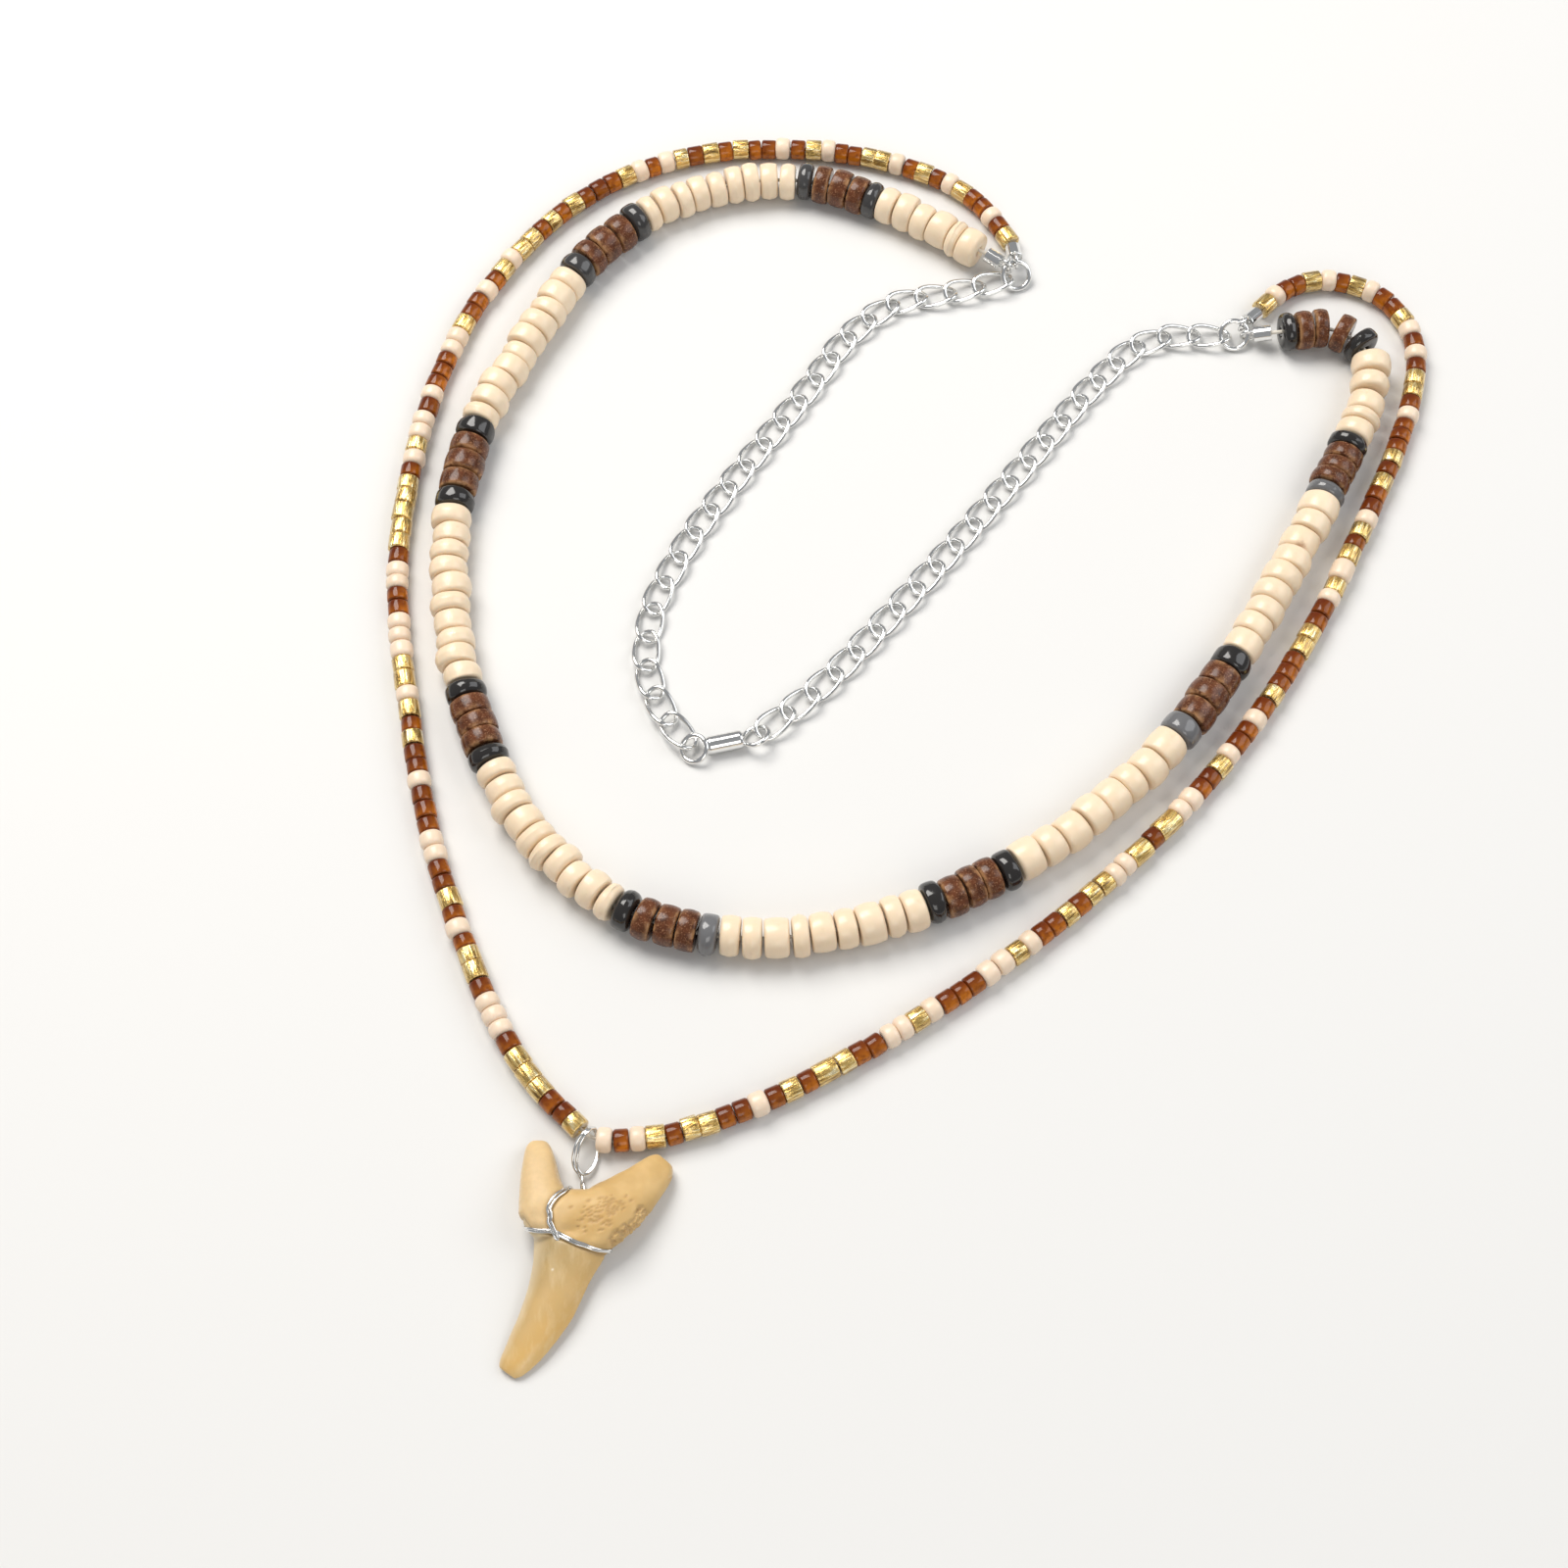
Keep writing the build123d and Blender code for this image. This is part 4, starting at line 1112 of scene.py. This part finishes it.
def pore_values(place, chance):
    """How deep each place lies in a pore, from 0 to 1, and how near it is to the middle of their patch.

    A pore is a hump drawn out along the patch, and the patch's nearness is exp(-(x^2 + y^2)) in its own
    directions.
    """
    patch = PORE_PATCH
    spread = chance.normal(0, 0.5, (patch["count"], 2)) * patch["reach"]
    cos, sin = np.cos(patch["turn"]), np.sin(patch["turn"])
    turn = np.array([[cos, sin], [-sin, cos]])
    pores = np.array(patch["middle"]) + spread @ turn
    size = chance.uniform(0.07, 0.2, patch["count"])
    offset = (place[:, None, :2] - pores[None]) @ turn.T * patch["drawn"]
    reach = (place[:, :2] - patch["middle"]) @ turn.T / patch["reach"]
    return hump(np.sqrt((offset ** 2).sum(axis=2)), size).max(axis=1), np.exp(-(reach ** 2).sum(axis=1))


def tooth_surface(chance):
    """The tooth's points, faces and point values: one even skin, pushed in and out along its normals."""
    lobes = [lobe_skin(sections) for sections in (LEFT_LOBE_SECTIONS, RIGHT_LOBE_SECTIONS, BODY_SECTIONS)]
    points, faces, normals = one_skin(*joined([crown_skin(), *lobes]), SKIN_CELL * MM, SKIN_ROUNDS)
    place = points / MM
    line = np.array(ROOT_LINE)
    over = place[:, 1] - np.interp(place[:, 0], line[:, 0], line[:, 1])
    root = step_up(over, -HALF_BORDER, HALF_BORDER)
    crease = hump(over - CREASE_PLACE, CREASE_WIDTH)
    facing = normals[:, 2] > 0
    furrow = hump(distance_to_line(place, FURROW), FURROW_WIDTH) * facing
    chip = step_up(-distance_to_line(place, CHIP_LINE), -CHIP_TO, -CHIP_FROM) * root
    broken = 0.5 + 0.5 * np.clip(1.6 * cloud(place, 0.9, chance) + 0.8 * cloud(place, 0.4, chance), -1, 1)
    fine = cloud(place, 0.55, chance)
    pore, patch = pore_values(place, chance)
    pore = pore * root * step_up(normals[:, 2], 0.2, 0.6)
    stain = patch * np.clip(0.75 + 0.5 * cloud(place, 1.3, chance), 0, 1)
    # Painted shade in the valley between the lobes, on its steep inner slopes
    valley = hump(distance_to_line(place, VALLEY_SHADE_LINE), VALLEY_SHADE_WIDTH) * step_up(-normals[:, 2], -0.95, -0.4)

    lip = hump(over - LIP_PLACE, LIP_WIDTH)
    push = -CREASE_DEPTH * crease - FURROW_DEPTH * furrow + LIP_RISE * lip - PORE_DEPTH * pore
    push = push + root * (ROOT_SWELL * cloud(place, 3.0, chance) + FINE_SWELL * fine)
    push = push + (1 - root) * CROWN_SWELL * cloud(place, 4.0, chance)
    push = push - chip * (CHIP_DEPTH + BROKEN_DEPTH * broken)
    points = points + push[:, None] * MM * normals
    points[:, 2] += FLOOR_GAP * MM - points[:, 2].min()

    from_neck = place - np.array([*NECK_PLACE, 0])
    along = from_neck @ level(CROWN_AXIS) / CROWN_LENGTH
    rows = between(CROWN_SECTIONS, 60)
    middle, half = (np.interp(along, rows[:, 0], rows[:, column]) * NECK_WIDTH for column in (1, 3))
    aside = np.clip((from_neck @ level(CROWN_AXIS + np.pi / 2) - middle) / (half / 2), -1, 1)
    # Steep sides that don't face the front, for the pale edges: partly wear, partly painted highlight towards
    # the lamps behind
    edge = step_up(-np.abs(normals[:, 2]), -0.75, -0.2) * (normals[:, 1] > -0.2)
    return points, faces, {
        # crease also carries painted shade for the crease and, on the root, the wire's furrow
        "root": root, "crease": np.clip(crease + 0.5 * furrow * root, 0, 1), "pore": pore,
        "worn": np.clip(edge * (0.7 + 0.5 * fine), 0, 1) * root, "chip": chip * broken,
        # right: painted shade towards the root's right side
        "along": along, "aside": aside, "right": step_up(place[:, 0], PAINTED_SHADE_FROM, PAINTED_SHADE_TO),
        "speck": 0.7 * hump(np.linalg.norm(place[:, :2] - SPECK_PLACE, axis=1), SPECK_WIDTH) * facing,
        "stain": stain, "valley": valley,
    }


def wire_strands(skin, wire):
    """Two strands round the neck, two over the root, both turns of the hanging ring and the twisted stem."""
    strands = []
    for route, steps, height, aside, heading in LAID_WIRES:
        path = evenly(smooth_path(route + route[:1]), steps + 1)[:-1]
        for side in (-aside, aside):
            laid = laid_path(path, skin, height * wire, side * wire)
            strands.append(round_bar(laid, wire, level(heading), close=True))
    heading, right = level(HANGING_HEADING), level(HANGING_HEADING + np.pi / 2)
    for share, shift, rise in HANGING_TURNS:
        turn = [tuple(np.array([*HANGING_PLACE, height + rise]) + heading * distance
                      + right * (aside * share + shift)) for distance, aside, height in HANGING_TURN]
        ring = evenly(smooth_path(turn + turn[:1]), HANGING_STEPS + 1)[:-1]
        strands.append(round_bar(ring, HANGING_RADIUS * wire, right, close=True))
    stem = evenly(smooth_path(STEM), STEM_STEPS)
    twist = np.linspace(0, STEM_TWIST, len(stem))[:, None]
    for start in (0, np.pi):
        strand = stem + STEM_SPREAD * wire * (np.cos(twist + start) * right + np.sin(twist + start) * UP)
        strands.append(round_bar(strand, wire, right + 0.2 * UP))
    return strands


class NECKLACE_OT_tooth(bpy.types.Operator):
    """Models the tooth, a lens-shaped crown and two root lobes under one skin, and lays its wires"""
    bl_idname = "necklace.tooth"
    bl_label = "Tooth"

    def execute(self, context):
        settings = context.scene.necklace_tooth
        points, faces, values = tooth_surface(np.random.default_rng(31))
        material = tooth_material(settings.crown, settings.root)
        piece = make_piece("tooth_skin", points, faces, material, "tooth", values)
        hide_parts("tooth")
        skin = BVHTree.FromPolygons(points.tolist(), faces.tolist())
        shape = joined(wire_strands(skin, settings.wire / 2))
        piece = make_piece("tooth_wires", *shape, silver(context), "silver")
        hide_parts("tooth_wire")
        return {"FINISHED"}


# Fittings and stage

# The lights: name, place in metres, size in metres, power in watts, colour
LIGHTS = (
    ("key", (-0.25, 0.35, 0.6), 0.45, 5.5, (1.0, 0.97, 0.93)),
    ("fill", (0.55, 0.1, 0.5), 0.5, 1.8, (0.95, 0.97, 1.0)),
    ("front", (0.1, -0.6, 0.45), 0.35, 1.0, (1.0, 0.98, 0.95)),
)
# The room's light, and half the floor's side in metres
ROOM_COLOUR = (0.95, 0.97, 1.0)
ROOM_STRENGTH = 0.34
FLOOR_REACH = 3.0
# The camera: its sensor's width in millimetres, and the nearest distance that it sees in metres
SENSOR_WIDTH = 36
NEAREST = 0.01


class NECKLACE_OT_fittings(bpy.types.Operator):
    """Gives the remaining metal pieces and the thread their materials"""
    bl_idname = "necklace.fittings"
    bl_label = "Rings, tips and thread"

    def execute(self, context):
        thread = bpy.data.materials.get("thread") or thread_material(context.scene.necklace_seeds.thread)
        for node in ("left_ring", "right_ring", "inner_left_tip", "inner_right_tip", "outer_left_tip",
                     "outer_right_tip", "clasp", "inner_thread"):
            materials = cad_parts[node].data.materials
            materials.clear()
            materials.append(thread if node == "inner_thread" else silver(context))
        return {"FINISHED"}


def aimed(name, data, place):
    """A lamp or camera at a place, aimed at the origin."""
    thing = in_scene(name, data)
    thing.location = place
    thing.rotation_euler = (-Vector(place)).to_track_quat("-Z", "Y").to_euler()
    return thing


class NECKLACE_OT_stage(bpy.types.Operator):
    """Sets the pale floor, the soft lights and the camera"""
    bl_idname = "necklace.stage"
    bl_label = "Stage"

    def execute(self, context):
        settings = context.scene.necklace_stage
        scene = context.scene
        mesh = bpy.data.meshes.new("floor")
        corners = [(x * FLOOR_REACH, y * FLOOR_REACH, 0) for x, y in ((-1, -1), (1, -1), (1, 1), (-1, 1))]
        mesh.from_pydata(corners, [], [(0, 1, 2, 3)])
        mesh.materials.append(Look("floor", Roughness=0.75).coloured((*settings.floor, 1)))
        floor = in_scene("floor", mesh)

        world = bpy.data.worlds.new("soft_room")
        world.use_nodes = True
        background = world.node_tree.nodes["Background"]
        background.inputs["Color"].default_value = (*ROOM_COLOUR, 1)
        background.inputs["Strength"].default_value = ROOM_STRENGTH
        scene.world = world
        for name, place, size, power, colour in LIGHTS:
            light = bpy.data.lights.new(name, "AREA")
            light.size = size
            light.energy = power
            light.color = colour
            aimed(name, light, place)

        camera = bpy.data.cameras.new("camera")
        camera.lens = settings.lens
        camera.sensor_width = SENSOR_WIDTH
        camera.clip_start = NEAREST
        direction = Vector((0, -np.cos(settings.elevation), np.sin(settings.elevation)))
        scene.camera = aimed("camera", camera, direction * settings.distance)
        scene.view_settings.view_transform = "Standard"
        return {"FINISHED"}


class NECKLACE_PT_panel(bpy.types.Panel):
    """Lists the necklace's settings and operators"""
    bl_label = "Necklace"
    bl_idname = "NECKLACE_PT_panel"
    bl_space_type = "VIEW_3D"
    bl_region_type = "UI"
    bl_category = "Necklace"

    def draw(self, context):
        for group in SETTINGS:
            box, settings = self.layout.box(), getattr(context.scene, group)
            for name in settings.__annotations__:
                box.prop(settings, name)
        for operator in OPERATORS:
            self.layout.operator(operator.bl_idname)


SETTINGS = {
    "necklace_discs": DiscSettings,
    "necklace_seeds": SeedSettings,
    "necklace_metal": MetalSettings,
    "necklace_tooth": ToothSettings,
    "necklace_stage": StageSettings,
}
OPERATORS = (NECKLACE_OT_discs, NECKLACE_OT_seeds, NECKLACE_OT_chains, NECKLACE_OT_tooth,
             NECKLACE_OT_fittings, NECKLACE_OT_stage)


def register():
    """Registers the settings, the operators and the panel."""
    for name, group in SETTINGS.items():
        bpy.utils.register_class(group)
        setattr(bpy.types.Scene, name, bpy.props.PointerProperty(type=group))
    for operator in OPERATORS:
        bpy.utils.register_class(operator)
    bpy.utils.register_class(NECKLACE_PT_panel)


def unregister():
    """Takes them out again."""
    bpy.utils.unregister_class(NECKLACE_PT_panel)
    for operator in reversed(OPERATORS):
        bpy.utils.unregister_class(operator)
    for name, group in SETTINGS.items():
        delattr(bpy.types.Scene, name)
        bpy.utils.unregister_class(group)


def main():
    """Builds the necklace and its stage."""
    register()
    bpy.ops.necklace.discs()
    bpy.ops.necklace.seeds()
    bpy.ops.necklace.chains()
    bpy.ops.necklace.tooth()
    bpy.ops.necklace.fittings()
    bpy.ops.necklace.stage()


if __name__ == "__main__":
    main()
